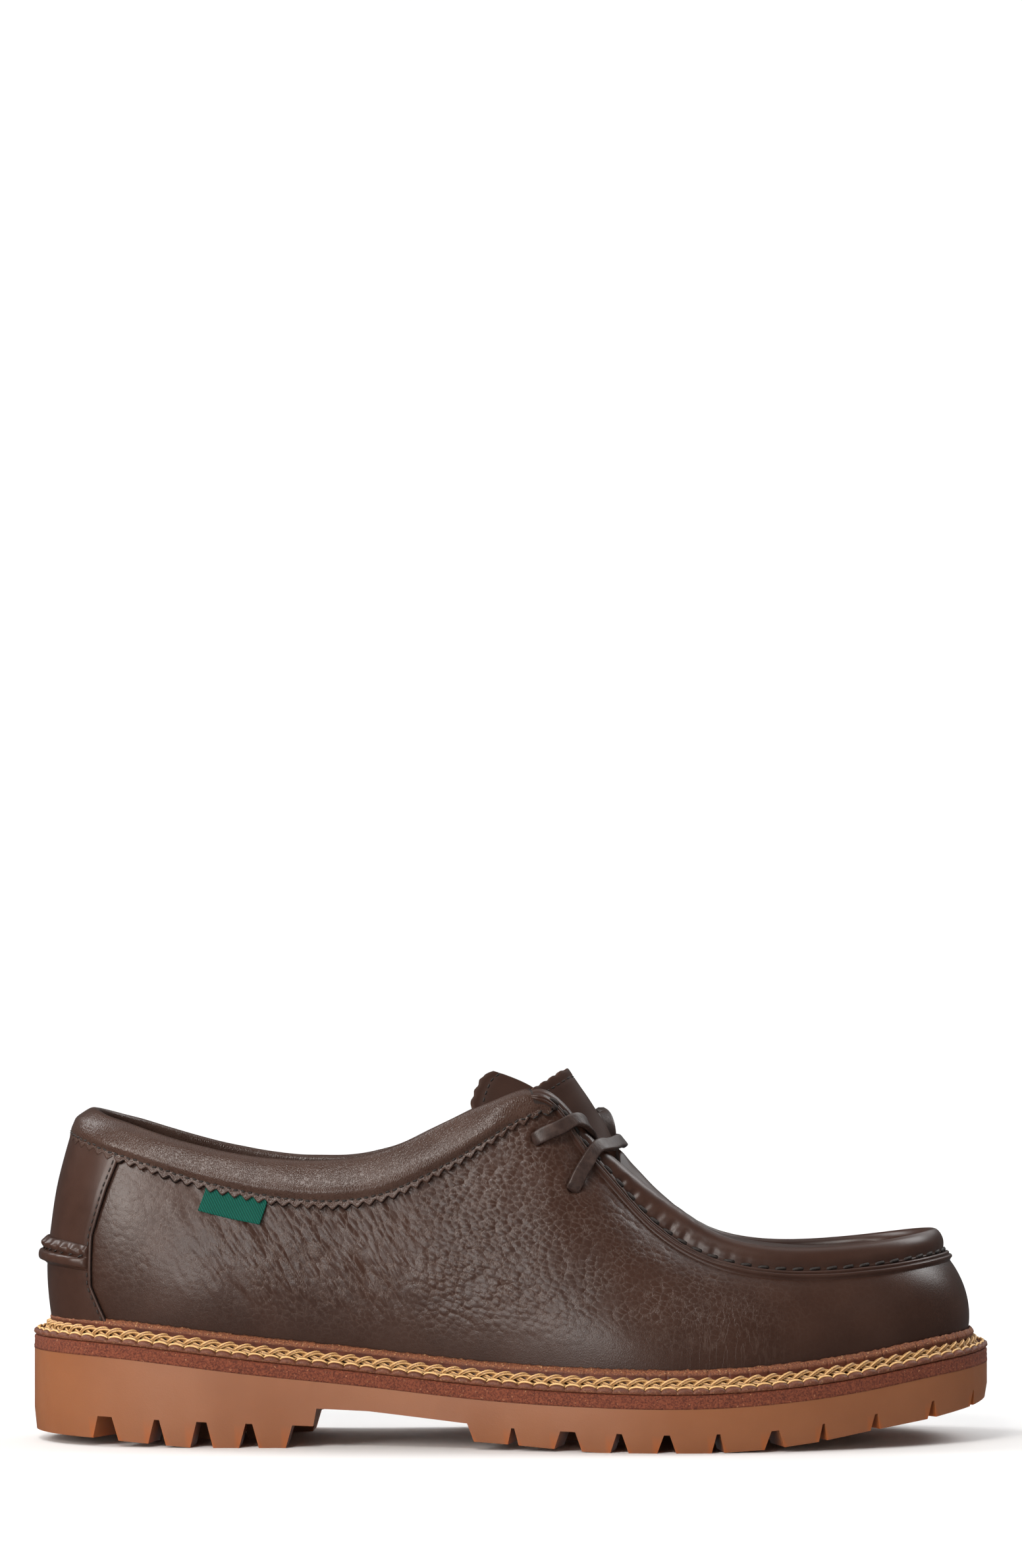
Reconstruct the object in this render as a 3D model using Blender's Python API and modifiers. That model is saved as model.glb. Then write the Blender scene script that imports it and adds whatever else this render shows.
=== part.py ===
"""A moc toe lace-up shoe for the right foot: lugged rubber sole, leather midsole, storm welt, hollow upper.

The shoe stands on z = 0 with its toe towards +X and its outer side towards -Y. Sizes are in millimetres,
and every mesh is scaled to metres as it is made. A place round the shoe is given by w: it runs from 0 at
the back of the heel along the outer side to 1 at the tip of the toe, and along the inner side back to the
heel at 2. On either side s is the same share of the way from heel to toe.
"""

import bmesh
import bpy
import numpy as np

MM = 0.001
GAP = 0.3
SHARP_DEGREES = 40

# Sole sizes
HEEL_X, TOE_X, TOE_Y = -151.0, 151.0, 5.0
MIDSOLE_THICK, MIDSOLE_CHAMFER, MIDSOLE_EASE = 4.0, 0.9, 0.7
LUG_LENGTH, LUG_DRAFT, LUG_TAPER, LUG_STEP = 17.0, 2.0, 0.7, 9.0
GAP_SLOPE = 0.72
HEEL_BREAST_X, HEEL_BREAST_DEEP = -60.5, 1.0
WAIST_X = (-50.0, -37.0, -24.0)
HEEL_LUG_FRONT_X = {"outer": -69.5, "inner": -63.0}
FORE_LUG_BACK_X = -11.7
BAR_WIDTH, BAR_RISE, BAR_ROOT = 9.0, 0.6, 2.5

# Upper sizes
LEDGE = 7.8
WALL_THICK, PLUG_THICK = 2.0, 2.2
FLANGE_WIDE, FLANGE_OUT, GROOVE_DEEP = 3.2, 1.3, 0.35
THROAT_S = 0.608
PLUG_BACK_X, PLUG_FRONT_X = 34.3, 112.0
SIDE_COLUMNS, EVEN_SHARE = 34, 0.55

# Welt sizes
WELT_TALL, WELT_THICK, WELT_FLANGE, WELT_INSET = 7.0, 1.6, 1.8, 0.5
BRAID_RADIUS, BRAID_SIDES = 1.4, 6

# Overlay sizes
FOLD_END_S = 0.495
CUFF_END_S = (0.506, 0.516, 0.524)
COLLAR_LINING, COLLAR_THICK, COLLAR_CLEAR, COLLAR_ROUND = 10.0, 1.2, 0.4, 0.2
STRAP_THICK, STRAP_CLEAR, STRAP_TRIM = 1.0, 0.45, 0.985
TAB_PROUD, TAB_REACH = 2.6, 0.97
TONGUE_THICK = 2.0
INSOLE_THICK, INSOLE_EDGE, INSOLE_CLEAR = 3.0, 1.0, 1.2
LACE_WIDE, LACE_THICK, LACE_EASE, LACE_CLEAR = 4.6, 2.3, 0.6, 1.0
LABEL_TALL, LABEL_THICK, LABEL_DROP = 6.4, 0.7, 0.5

# Steps in which the outline and the wall's arc are measured
OUTLINE_STEPS, ARC_STEPS = 4000, 200

# Sole outline: x, half width on the outer side, half width on the inner side
SOLE_OUTLINE = (
    (-144.5, 19.0, 18.5),
    (-128.0, 31.0, 30.8),
    (-104.0, 36.3, 36.3),
    (-72.0, 37.0, 35.3),
    (-42.0, 38.5, 35.0),
    (-12.0, 43.5, 38.2),
    (18.0, 50.5, 45.3),
    (46.0, 54.2, 52.4),
    (74.0, 52.0, 54.1),
    (100.0, 45.2, 50.2),
    (124.0, 34.5, 42.8),
    (142.5, 20.5, 30.0),
)

# Heights along the sole: x, z
RUBBER_TOP = (
    (-151, 29.2), (-122, 27.6), (-82, 23.0), (-44, 19.2), (-13, 16.0), (25, 14.0),
    (56, 13.7), (90, 15.9), (111, 18.7), (130, 21.9), (151, 24.8),
)
LUG_TIP = (
    (-151, 3.4), (-130, 2.6), (-112, 1.2), (-98, 0.0), (-60, 0.0), (-12, 2.6), (0, 1.9), (14, 0.8),
    (26, 0.0), (62, 0.0), (78, 0.9), (94, 2.9), (110, 5.7), (129, 8.5), (144, 11.4), (151, 13.2),
)
LUG_ROOT = (
    (-151, 10.2), (-125, 9.3), (-95, 8.0), (-61, 6.8), (-60, 12.2), (-44, 11.5), (-16, 8.4), (0, 7.0),
    (17, 6.3), (47, 5.5), (62, 5.8), (80, 6.6), (95, 8.4), (112, 10.9), (130, 14.0), (151, 17.5),
)

# Gaps between the edge lugs: x of the middle on the outer edge, width at the floor
LUG_GAPS = (
    (-125.7, 8.8), (-109.3, 5.6), (-95.4, 7.1), (-80.8, 6.1),
    (0.3, 3.4), (17.0, 8.6), (32.6, 5.6), (47.0, 5.8), (62.7, 4.0),
    (80.1, 6.4), (95.2, 2.8), (111.8, 3.4), (130.3, 3.4), (144.3, 2.4),
)
# Bars in the middle of the tread: x, and half width
TREAD_BARS = (
    (-118, 10.0), (-98, 13.0), (-78, 13.0), (2, 17.0), (20, 22.0),
    (38, 26.0), (56, 28.0), (74, 27.0), (92, 22.0), (110, 15.0),
)

# Wall of the upper from heel to toe: s, then the top edge as x, half width and z, the rise and outward push
# above the foot, the drop and outward push below the top, and the rim's height and lean
WALL = (
    (0.000, -136.5, 0.0, 101.2, 24.0, 4.8, 26.0, 8.0, 1.2, 12.0),
    (0.050, -133.2, 11.5, 100.6, 24.0, 4.8, 26.0, 7.8, 1.2, 12.0),
    (0.100, -123.5, 20.0, 98.3, 24.0, 4.7, 26.0, 7.0, 1.2, 12.0),
    (0.160, -106.0, 25.5, 93.2, 23.0, 4.6, 25.0, 6.0, 1.2, 12.0),
    (0.240, -83.0, 28.5, 87.8, 22.0, 4.8, 24.0, 5.4, 1.2, 12.0),
    (0.320, -57.0, 29.5, 85.6, 22.0, 4.8, 24.0, 5.0, 1.2, 12.0),
    (0.380, -37.0, 29.5, 89.0, 24.0, 4.8, 25.0, 5.5, 1.2, 14.0),
    (0.430, -19.5, 29.0, 97.2, 27.0, 4.6, 28.0, 6.0, 1.2, 18.0),
    (0.475, -4.0, 27.8, 105.2, 30.0, 4.4, 30.0, 7.0, 1.2, 30.0),
    (0.505, 6.0, 26.5, 108.6, 31.0, 3.9, 30.0, 8.0, 2.6, 50.0),
    (0.530, 14.0, 25.5, 105.0, 29.0, 3.6, 27.0, 9.5, 4.5, 50.0),
    (0.555, 21.0, 25.0, 95.0, 26.0, 3.4, 23.0, 11.0, 5.5, 44.0),
    (0.580, 29.0, 25.0, 85.2, 23.0, 3.4, 18.0, 12.5, 6.3, 35.0),
    (0.610, 39.5, 26.3, 72.8, 20.0, 3.2, 13.0, 13.0, 7.2, 25.0),
    (0.645, 52.0, 29.3, 62.5, 17.0, 3.0, 9.0, 12.0, 7.7, 16.0),
    (0.690, 67.0, 33.0, 56.4, 14.0, 2.9, 7.5, 10.0, 8.0, 12.0),
    (0.750, 85.5, 34.6, 54.0, 13.0, 2.9, 7.0, 8.0, 8.0, 12.0),
    (0.820, 106.0, 32.2, 54.7, 12.5, 2.9, 7.0, 7.0, 8.0, 12.0),
    (0.880, 121.5, 26.0, 56.4, 12.0, 2.9, 7.0, 6.5, 8.0, 12.0),
    (0.940, 132.8, 14.5, 58.1, 12.0, 2.9, 7.0, 6.5, 8.0, 12.0),
    (1.000, 137.2, 0.0, 58.7, 12.0, 2.9, 7.0, 6.5, 8.0, 12.0),
)
# Rows up the wall as shares of its height below the moc seam's flange
WALL_ROWS = (0.0, 0.15, 0.32, 0.5, 0.68, 0.85, 1.0)
# Rows up the flange as shares of its height
FLANGE_ROWS = (0.12, 0.9, 1.0)
# Section of the raised rim above the moc seam: share of its height, depth towards the plug
RIM_SECTION = ((0.12, -0.4), (0.5, -0.8), (0.84, -0.1), (1.0, 1.6), (0.88, 3.4), (0.66, 4.4))
FULL_RIM, EDGE_RIM, EDGE_DEPTH = 5.2, 1.2, 0.45
# Middle line of the plug: x, z
PLUG_LINE = (
    (33, 93.6), (35.2, 90.9), (37, 88.0), (39, 85.4), (42.5, 81.1), (46.6, 76.7), (53.8, 69.5), (60.5, 65.6),
    (67, 63.4), (77, 61.5), (87, 60.6), (100, 60.9), (112, 62.2),
)
PLUG_ROWS = (0.34, 0.67, 1.0)

# Edge of the back strap: share of the strap's height, s of its edge
STRAP_EDGE = ((0.0, 0.118), (0.2, 0.1), (0.5, 0.096), (0.8, 0.104), (1.0, 0.112))

# Ridge across the strap: the shares of the strap's height that it spans, and its section as rise and relief
TAB_ROWS = (0.3, 0.435)
TAB_SECTION = ((0.0, 0.0), (0.08, 0.75), (0.45, 1.0), (0.8, 0.85), (1.0, 0.25), (1.0, 0.0))

# Tongue, a rib in each row from under the plug to its top edge, as x, y, z of six strands:
# outer edge, outer fold, crest, valley, inner fold, inner edge
TONGUE = (
    ((50, -18.5, 60.5), (50.5, -10, 64.5), (51, 0, 66.8), (51, 7, 66.0), (50.5, 13, 64), (50, 17.5, 60.5)),
    ((32.5, -18, 73), (32.5, -10, 79), (33.2, -1, 82.6), (32.8, 6, 81.6), (32.5, 12, 78.6), (32.5, 17, 74)),
    ((16.5, -17, 90), (23, -9, 95.5), (29.2, 0, 100), (23.5, 6.5, 96), (16, 12.5, 93.5), (14, 17, 99)),
    ((2.2, -16.5, 108.4), (10.2, -9, 112.9), (17.7, 0, 117.2), (4, 7.5, 107.5), (-12.5, 13.6, 104),
     (-8.5, 18.6, 116.9)),
)

# Lace on the wall, from its hole: s, z, clearance; then s where it meets the rim and s where it leaves it
LACE_BAR = {"wall": ((0.547, 78.0, 0.7), (0.557, 82.4, 1.5)), "rim": (0.5695, 0.5785)}
LACE_END = {"wall": ((0.516, 95.6, 0.7), (0.533, 96.8, 1.5)), "rim": (0.552, 0.563)}
# Places round the rim that the lace passes: share of the rim's height, depth, and the way out: up, across
LACE_OVER = (
    (0.0, -FLANGE_OUT, 0.0, -1.0),
    (0.62, -0.8, 0.25, -0.97),
    (1.0, 1.6, 1.0, 0.0),
    (0.84, 3.9, 0.8, 0.6),
)
# Middle of the bar, and where the outer and the inner end go under it: x, y, z
BAR_MIDDLE = ((35.0, -9.0, 93.9), (36.0, 0.0, 94.5), (35.0, 9.0, 93.9))
OUTER_TUCK = ((30.4, -15.6, 94.8), (33.4, -11.8, 92.6))
INNER_TUCK = ((29.2, 14.2, 101.4), (34.2, 10.4, 95.2))
# The way the lace faces in the middle of the throat
LACE_FACE = (0.75, 0.0, 0.66)

# Label on the outer wall: s of its two ends, and how far its foot leans towards the heel
LABEL_S = (0.206, 0.263)
LABEL_LEAN = -0.006
# Cuff: rows down its outer leaf as share of its depth and swell, and rows down its inner leaf as share
CUFF_ROWS = ((1.0, 0.0), (0.7, 0.72), (0.35, 0.9), (0.0, 0.54))
LINING_ROWS = (0.0, 0.4, 1.0)
# Depth of the cuff on the outside: s, distance below the top line
COLLAR_DEPTH = (
    (0.0, 6.4), (0.05, 7.8), (0.1, 9.8), (0.155, 10.4), (0.24, 11.2), (0.32, 12.0), (0.375, 12.4),
    (0.42, 12.3), (0.445, 12.0), (0.47, 11.0), (0.5, 9.0), (0.524, 4.6),
)

# Colours in linear RGB with roughness
FINISHES = {
    "outsole": (0.115, 0.040, 0.012, 0.55),
    "midsole": (0.075, 0.022, 0.012, 0.7),
    "welt": (0.070, 0.018, 0.010, 0.5),
    "welt_braid": (0.30, 0.15, 0.055, 0.65),
    "insole": (0.16, 0.075, 0.035, 0.6),
    "upper": (0.050, 0.025, 0.018, 0.42),
    "collar_binding": (0.055, 0.027, 0.019, 0.5),
    "back_strap": (0.047, 0.024, 0.017, 0.42),
    "heel_tab": (0.047, 0.024, 0.017, 0.42),
    "tongue": (0.040, 0.018, 0.013, 0.5),
    "lace": (0.060, 0.022, 0.012, 0.5),
    "label_tab": (0.012, 0.05, 0.024, 0.8),
}


def spline(knots, rows, at, period=None):
    """Cubic curve through the rows with continuous curvature, with free ends or closed after one period."""
    knots = np.asarray(knots, float)
    rows = np.asarray(rows, float).reshape(len(knots), -1)
    if period:
        knots = np.concatenate([knots - period, knots, knots + period])
        rows = np.concatenate([rows, rows, rows])
    span = np.diff(knots)
    slope = np.diff(rows, axis=0) / span[:, None]
    system = np.eye(len(knots))
    bend = np.zeros_like(rows)
    for i in range(1, len(knots) - 1):
        system[i, i - 1:i + 2] = span[i - 1], 2 * (span[i - 1] + span[i]), span[i]
        bend[i] = 6 * (slope[i] - slope[i - 1])
    bend = np.linalg.solve(system, bend)
    at = np.asarray(at, float)
    k = np.clip(np.searchsorted(knots, at, side="right") - 1, 0, len(knots) - 2)
    step = span[k][..., None]
    a = (knots[k + 1] - at)[..., None] / step
    b = 1 - a
    bowed = ((a**3 - a) * bend[k] + (b**3 - b) * bend[k + 1]) * step**2 / 6
    return a * rows[k] + b * rows[k + 1] + bowed


def level(table, x):
    """Height from a table of x and z, along straight stretches."""
    xs, zs = zip(*table)
    return np.interp(x, xs, zs)


def flowing(table, x):
    """Height from a table of x and z, along a smooth curve."""
    xs, zs = zip(*table)
    return spline(xs, zs, x)[..., 0]


def seat(x):
    """Height of the midsole's top, on which the welt, the upper and the insole sit."""
    return flowing(RUBBER_TOP, x) + MIDSOLE_THICK


def unit(vectors):
    return vectors / np.linalg.norm(vectors, axis=-1, keepdims=True)


def trace_outline():
    """Dense points of the sole's outline with their outward normals, and where w puts each of them."""
    outer = [(x, -wide) for x, wide, _ in SOLE_OUTLINE]
    inner = [(x, wide) for x, _, wide in reversed(SOLE_OUTLINE)]
    corners = np.array([(HEEL_X, 0.0), *outer, (TOE_X, TOE_Y), *inner])
    chords = np.linalg.norm(np.diff(np.vstack([corners, corners[:1]]), axis=0), axis=1)
    reach = np.concatenate([[0], np.cumsum(chords)])
    at = np.linspace(0, reach[-1], OUTLINE_STEPS + 1)
    points = spline(reach[:-1], corners, at[:-1], period=reach[-1])
    points = np.vstack([points, points[:1]])
    along = np.concatenate([[0], np.cumsum(np.linalg.norm(np.diff(points, axis=0), axis=1))])
    tip = np.interp(reach[len(outer) + 1], at, along)
    w = np.where(along <= tip, along / tip, 1 + (along - tip) / (along[-1] - tip))
    ahead = np.gradient(np.vstack([points[-2], points, points[1]]), axis=0)[1:-1]
    normals = unit(np.stack([ahead[:, 1], -ahead[:, 0]], axis=1))
    return w, points, normals, along[-1] / 2


OUTLINE_W, OUTLINE_POINTS, OUTLINE_NORMALS, HALF_ROUND = trace_outline()


def outline(w, inset=0.0):
    """Points of the sole's outline moved inwards by the inset, and the outward normals there."""
    w = np.mod(w, 2.0)
    point = np.stack([np.interp(w, OUTLINE_W, OUTLINE_POINTS[:, i]) for i in (0, 1)], axis=-1)
    normal = unit(np.stack([np.interp(w, OUTLINE_W, OUTLINE_NORMALS[:, i]) for i in (0, 1)], axis=-1))
    return point - normal * np.asarray(inset)[..., None], normal


def s_at(x):
    """Place along the outer half of the outline, from 0 at the heel to 1 at the toe, of a given x."""
    outer = OUTLINE_W <= 1
    return np.interp(x, OUTLINE_POINTS[outer, 0], OUTLINE_W[outer])


def wall_table(w):
    """The columns of WALL at each w, with the half width signed by the side of the shoe."""
    rows = np.array(WALL)
    outer, inner = rows.copy(), rows[-2:0:-1].copy()
    outer[:, 2] *= -1
    knots = np.concatenate([outer[:, 0], 2 - inner[:, 0]])
    return spline(knots, np.vstack([outer, inner])[:, 1:], np.mod(w, 2.0), period=2.0)


def centre_y(w):
    """Sideways place of the shoe's middle line: halfway between its two sides at the same s."""
    s = np.where(np.mod(w, 2) > 1, 2 - np.mod(w, 2), np.mod(w, 2))
    return (outline(s, LEDGE)[0][..., 1] + outline(2 - s, LEDGE)[0][..., 1]) / 2


def wall_frame(w):
    """The four control points of the wall's section at each w, from its foot to its top edge."""
    foot, normal = outline(w, LEDGE)
    out = np.concatenate([normal, np.zeros_like(normal[..., :1])], axis=-1)
    up = np.array([0.0, 0.0, 1.0])
    table = wall_table(w)
    foot = np.concatenate([foot, seat(foot[..., 0])[..., None] + GAP], axis=-1)
    top = np.stack([table[..., 0], centre_y(w) + table[..., 1], table[..., 2]], axis=-1)
    low = foot + up * table[..., 3:4] + out * table[..., 4:5]
    high = top - up * table[..., 5:6] + out * table[..., 6:7]
    return foot, low, high, top


def wall(w, v):
    """Outer face of the upper: at each w a cubic arc from the foot at v 0 to the top edge at v 1."""
    foot, low, high, top = (p[:, None, :] for p in wall_frame(w))
    v = v[..., None]
    return foot * (1 - v)**3 + 3 * low * v * (1 - v)**2 + 3 * high * v**2 * (1 - v) + top * v**3


def wall_normal(w, v, step=1e-3):
    """Outward normal of the wall, from its steps along w and v."""
    along = wall(w + step, v) - wall(w - step, v)
    up = wall(w, v + step) - wall(w, v - step)
    return unit(np.cross(along, up))


def v_at_height(w, height):
    """The v at which the wall stands this high above its foot."""
    v = np.linspace(0, 1, ARC_STEPS + 1)
    rise = wall(w, np.tile(v, (len(w), 1)))[..., 2]
    height = np.broadcast_to(height, len(w))
    return np.array([np.interp(h, z - z[0], v) for h, z in zip(height, rise)])


def v_below_top(w, distance):
    """The v at which the wall lies this far below its top edge, measured along the wall."""
    v = np.linspace(0, 1, ARC_STEPS + 1)
    points = wall(w, np.tile(v, (len(w), 1)))
    steps = np.linalg.norm(np.diff(points, axis=1), axis=2)
    left = np.concatenate([np.cumsum(steps[:, ::-1], axis=1)[:, ::-1], np.zeros((len(w), 1))], axis=1)
    distance = np.broadcast_to(distance, len(w))
    return np.array([np.interp(-d, -l, v) for d, l in zip(distance, left)])


def finish(name):
    """Principled material for one piece."""
    red, green, blue, rough = FINISHES[name]
    material = bpy.data.materials.new(name)
    material.use_nodes = True
    shader = material.node_tree.nodes["Principled BSDF"]
    shader.inputs["Base Color"].default_value = (red, green, blue, 1)
    shader.inputs["Roughness"].default_value = rough
    shader.inputs["Metallic"].default_value = 0.0
    return material


def add_piece(name, points, faces, collection):
    """Object made from points in millimetres, with loose points dropped and its faces turned outwards."""
    mesh = bpy.data.meshes.new(name)
    mesh.from_pydata((np.asarray(points).reshape(-1, 3) * MM).tolist(), [], faces)
    form = bmesh.new()
    form.from_mesh(mesh)
    loose = [vert for vert in form.verts if not vert.link_faces]
    bmesh.ops.delete(form, geom=loose, context="VERTS")
    bmesh.ops.recalc_face_normals(form, faces=form.faces)
    form.to_mesh(mesh)
    form.free()
    mesh.shade_smooth()
    mesh.set_sharp_from_angle(angle=np.radians(SHARP_DEGREES))
    piece = bpy.data.objects.new(name, mesh)
    if name in FINISHES:
        mesh.materials.append(finish(name))
    collection.objects.link(piece)
    return piece


def loft_faces(rings, count, closed):
    """Quads between rings of count points each, joined end to end or capped."""
    faces = []
    for i in range(rings if closed else rings - 1):
        here, there = i * count, (i + 1) % rings * count
        for j in range(count):
            k = (j + 1) % count
            faces.append((here + j, here + k, there + k, there + j))
    if not closed:
        faces.append(tuple(range(count)))
        faces.append(tuple(range((rings - 1) * count, rings * count)))
    return faces


def shell_faces(columns, rows, cells, shared=None):
    """Faces of a wall between an outer and an inner grid of points over the cells, closed along its edges."""
    ids = np.arange(columns * rows).reshape(columns, rows)
    if shared:
        for i, k in shared:
            ids[i, -1] = ids[k, -1]
    inner = columns * rows
    faces, border = [], set()
    for i, j in cells:
        k = (i + 1) % columns
        loop = [int(n) for n in (ids[i, j], ids[k, j], ids[k, j + 1], ids[i, j + 1])]
        faces.append(tuple(loop))
        faces.append(tuple(n + inner for n in reversed(loop)))
        for a, b in zip(loop, loop[1:] + loop[:1]):
            if (b, a) in border:
                border.remove((b, a))
            else:
                border.add((a, b))
    for a, b in sorted(border):
        faces.append((b, a, a + inner, b + inner))
    return faces


def open_cells(columns, rows):
    return [(i, j) for i in range(columns - 1) for j in range(rows - 1)]


def side_places():
    """Values of s from heel to toe, closer together where the outline turns."""
    even = np.linspace(0, 1, SIDE_COLUMNS + 1)
    return EVEN_SHARE * even + (1 - EVEN_SHARE) * (1 - np.cos(np.pi * even)) / 2


def round_places():
    """Values of w round the shoe, the same s on both sides."""
    s = side_places()
    return np.concatenate([s, 2 - s[-2:0:-1]])


def slab_faces(columns, levels):
    """Faces of a slab from levels of outline points, bottom first, each face joined straight across."""
    faces = []
    for a in range(levels - 1):
        for i in range(columns):
            k = (i + 1) % columns
            faces.append((a * columns + i, a * columns + k, (a + 1) * columns + k, (a + 1) * columns + i))
    half = columns // 2
    for base in (0, (levels - 1) * columns):
        for i in range(half):
            across = (columns - i) % columns, columns - i - 1
            loop = [base + i, base + i + 1, base + across[1], base + across[0]]
            faces.append(tuple(dict.fromkeys(loop)))
    return faces


def make_slab(name, levels, collection):
    """Slab whose levels give an inset and a height function; each level is an outline at that inset."""
    w = round_places()
    rings = []
    for inset, height in levels:
        flat = outline(w, np.full(len(w), inset))[0]
        rings.append(np.concatenate([flat, height(flat[:, 0])[:, None]], axis=1))
    return add_piece(name, np.array(rings), slab_faces(len(w), len(levels)), collection)


def lug_spans(gaps, start, end, open_start, open_end):
    """Each lug as its s at the tip and at the root, both ends; an open end slopes like the wall of a gap."""
    draft = LUG_DRAFT / HALF_ROUND
    ends = [(start, start - draft * open_start)]
    for x, wide in gaps:
        middle, half = s_at(x), wide / HALF_ROUND / 2
        slope = min(draft, GAP_SLOPE * half)
        ends += [(middle - half, middle - half + slope), (middle + half, middle + half - slope)]
    ends.append((end, end + draft * open_end))
    return [(*a, *b) for a, b in zip(ends[::2], ends[1::2])]


def lug_columns(heel_front_x):
    """Columns along one side of the tread as s at the root, s at the tip and lug number, -1 in the waist."""
    heel_gaps = [gap for gap in LUG_GAPS if gap[0] < heel_front_x]
    fore_gaps = [gap for gap in LUG_GAPS if gap[0] > heel_front_x]
    heel = lug_spans(heel_gaps, 0.0, s_at(heel_front_x), False, True)
    fore = lug_spans(fore_gaps, s_at(FORE_LUG_BACK_X), 1.0, True, False)
    breast = HEEL_BREAST_X - HEEL_BREAST_DEEP / 2, HEEL_BREAST_X + HEEL_BREAST_DEEP / 2
    waist = s_at(np.array([*breast, *WAIST_X]))
    columns = []
    for number, (tip_a, root_a, tip_b, root_b) in enumerate(heel + fore):
        if number == len(heel):
            columns += [(s, s, -1) for s in waist]
        steps = max(1, int(round((tip_b - tip_a) * HALF_ROUND / LUG_STEP)))
        tips = np.linspace(tip_a, tip_b, steps + 1)
        roots = [root_a, *tips[1:-1], root_b]
        columns += [(root, tip, number) for root, tip in zip(roots, tips)]
    return columns


def make_outsole(collection, cutters):
    """Rubber sole: edge lugs between drafted gaps, a heel with its breast, a raised waist and inner bars."""
    outer, inner = (lug_columns(HEEL_LUG_FRONT_X[side]) for side in ("outer", "inner"))
    last = outer[-1][2]
    # The first and the last lug run across from side to side, so both sides give them one number.
    ring = outer + [(2 - root, 2 - tip, number if number in (-1, 0, last) else last + number)
                    for root, tip, number in reversed(inner[1:-1])]
    count = len(ring)
    root_w, tip_w = (np.array([column[i] for column in ring]) for i in (0, 1))
    lug = [column[2] for column in ring]

    def ring_at(w, inset, height):
        flat = outline(w, np.full(count, inset))[0]
        return np.concatenate([flat, height(flat[:, 0])[:, None]], axis=1)

    edge_x = outline(root_w)[0][:, 0]
    tip_x = outline(tip_w)[0][:, 0]
    levels = [
        ring_at(root_w, 0.0, lambda x: flowing(RUBBER_TOP, x)),
        ring_at(root_w, 0.0, lambda x: level(LUG_ROOT, edge_x)),
        ring_at(tip_w, LUG_TAPER, lambda x: level(LUG_TIP, tip_x)),
        ring_at(tip_w, LUG_LENGTH - LUG_DRAFT, lambda x: level(LUG_TIP, tip_x)),
        ring_at(root_w, LUG_LENGTH, lambda x: level(LUG_ROOT, edge_x)),
    ]
    top, root, tip, tip_in, root_in = (n * count for n in range(5))
    faces = []
    for i in range(count):
        k = (i + 1) % count
        faces.append((top + i, top + k, root + k, root + i))
        if lug[i] >= 0 and lug[i] == lug[k]:
            for a, b in ((root, tip), (tip, tip_in), (tip_in, root_in)):
                faces.append((a + i, a + k, b + k, b + i))
        else:
            faces.append((root + i, root + k, root_in + k, root_in + i))
            for j in (i, k):
                if lug[j] >= 0:
                    faces.append((root + j, tip + j, tip_in + j, root_in + j))
    half = count // 2
    for base in (top, root_in):
        for i in range(half):
            loop = [base + i, base + i + 1, base + count - i - 1, base + (count - i) % count]
            faces.append(tuple(dict.fromkeys(loop)))
    sole = add_piece("outsole", np.array(levels), faces, collection)

    corners, bar_faces = [], []
    for x, wide in TREAD_BARS:
        low, high = level(LUG_TIP, x) + BAR_RISE, level(LUG_ROOT, x) + BAR_ROOT
        start = len(corners)
        for z, spread in ((low, 0.0), (high, LUG_DRAFT)):
            for sx, sy in ((-1, -1), (1, -1), (1, 1), (-1, 1)):
                corners.append((x + sx * (BAR_WIDTH / 2 + spread), sy * (wide + spread), z))
        bar_faces += [tuple(start + n for n in face) for face in loft_faces(2, 4, False)]
    bars = add_piece("tread_bars", np.array(corners), bar_faces, cutters)
    bars.hide_render = True
    bars.display_type = "WIRE"
    join = sole.modifiers.new("tread bars", "BOOLEAN")
    join.operation = "UNION"
    join.object = bars
    return sole


def make_midsole(collection):
    return make_slab("midsole", (
        (GAP, lambda x: flowing(RUBBER_TOP, x) + GAP),
        (0.0, lambda x: flowing(RUBBER_TOP, x) + GAP + MIDSOLE_EASE),
        (0.0, lambda x: seat(x) - MIDSOLE_CHAMFER),
        (MIDSOLE_CHAMFER, seat),
    ), collection)


def make_insole(collection):
    inset = LEDGE + WALL_THICK + INSOLE_CLEAR
    return make_slab("insole", (
        (inset, lambda x: seat(x) + GAP),
        (inset, lambda x: seat(x) + INSOLE_THICK - INSOLE_EDGE),
        (inset + INSOLE_EDGE, lambda x: seat(x) + INSOLE_THICK),
    ), collection)


def beside_wall(w, height, out):
    """Points this far outside the wall's outer face, at this height above its foot."""
    v = v_at_height(w, height)[:, None]
    points = wall(w, v)[:, 0]
    normal = outline(w)[1]
    points[:, :2] += normal * out
    return points


def make_welt(collection):
    """Storm welt: an upright flange against the upper and a flat flange out over the midsole."""
    w = round_places()
    foot, normal = outline(w, LEDGE)
    edge, _ = outline(w, np.full(len(w), WELT_INSET))

    def flat(plan, rise):
        return np.concatenate([plan, (seat(plan[:, 0]) + rise)[:, None]], axis=1)

    section = [
        flat(foot + normal * GAP, 2 * GAP),
        beside_wall(w, WELT_TALL, GAP),
        beside_wall(w, WELT_TALL, GAP + WELT_THICK / 2),
        beside_wall(w, WELT_TALL - WELT_THICK, GAP + WELT_THICK),
        beside_wall(w, WELT_FLANGE + 2 * GAP, GAP + WELT_THICK),
        flat(edge - normal * GAP, WELT_FLANGE + GAP),
        flat(edge, 2 * GAP),
    ]
    rings = np.stack(section, axis=1)
    add_piece("welt", rings, loft_faces(len(w), len(section), True), collection)


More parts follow.
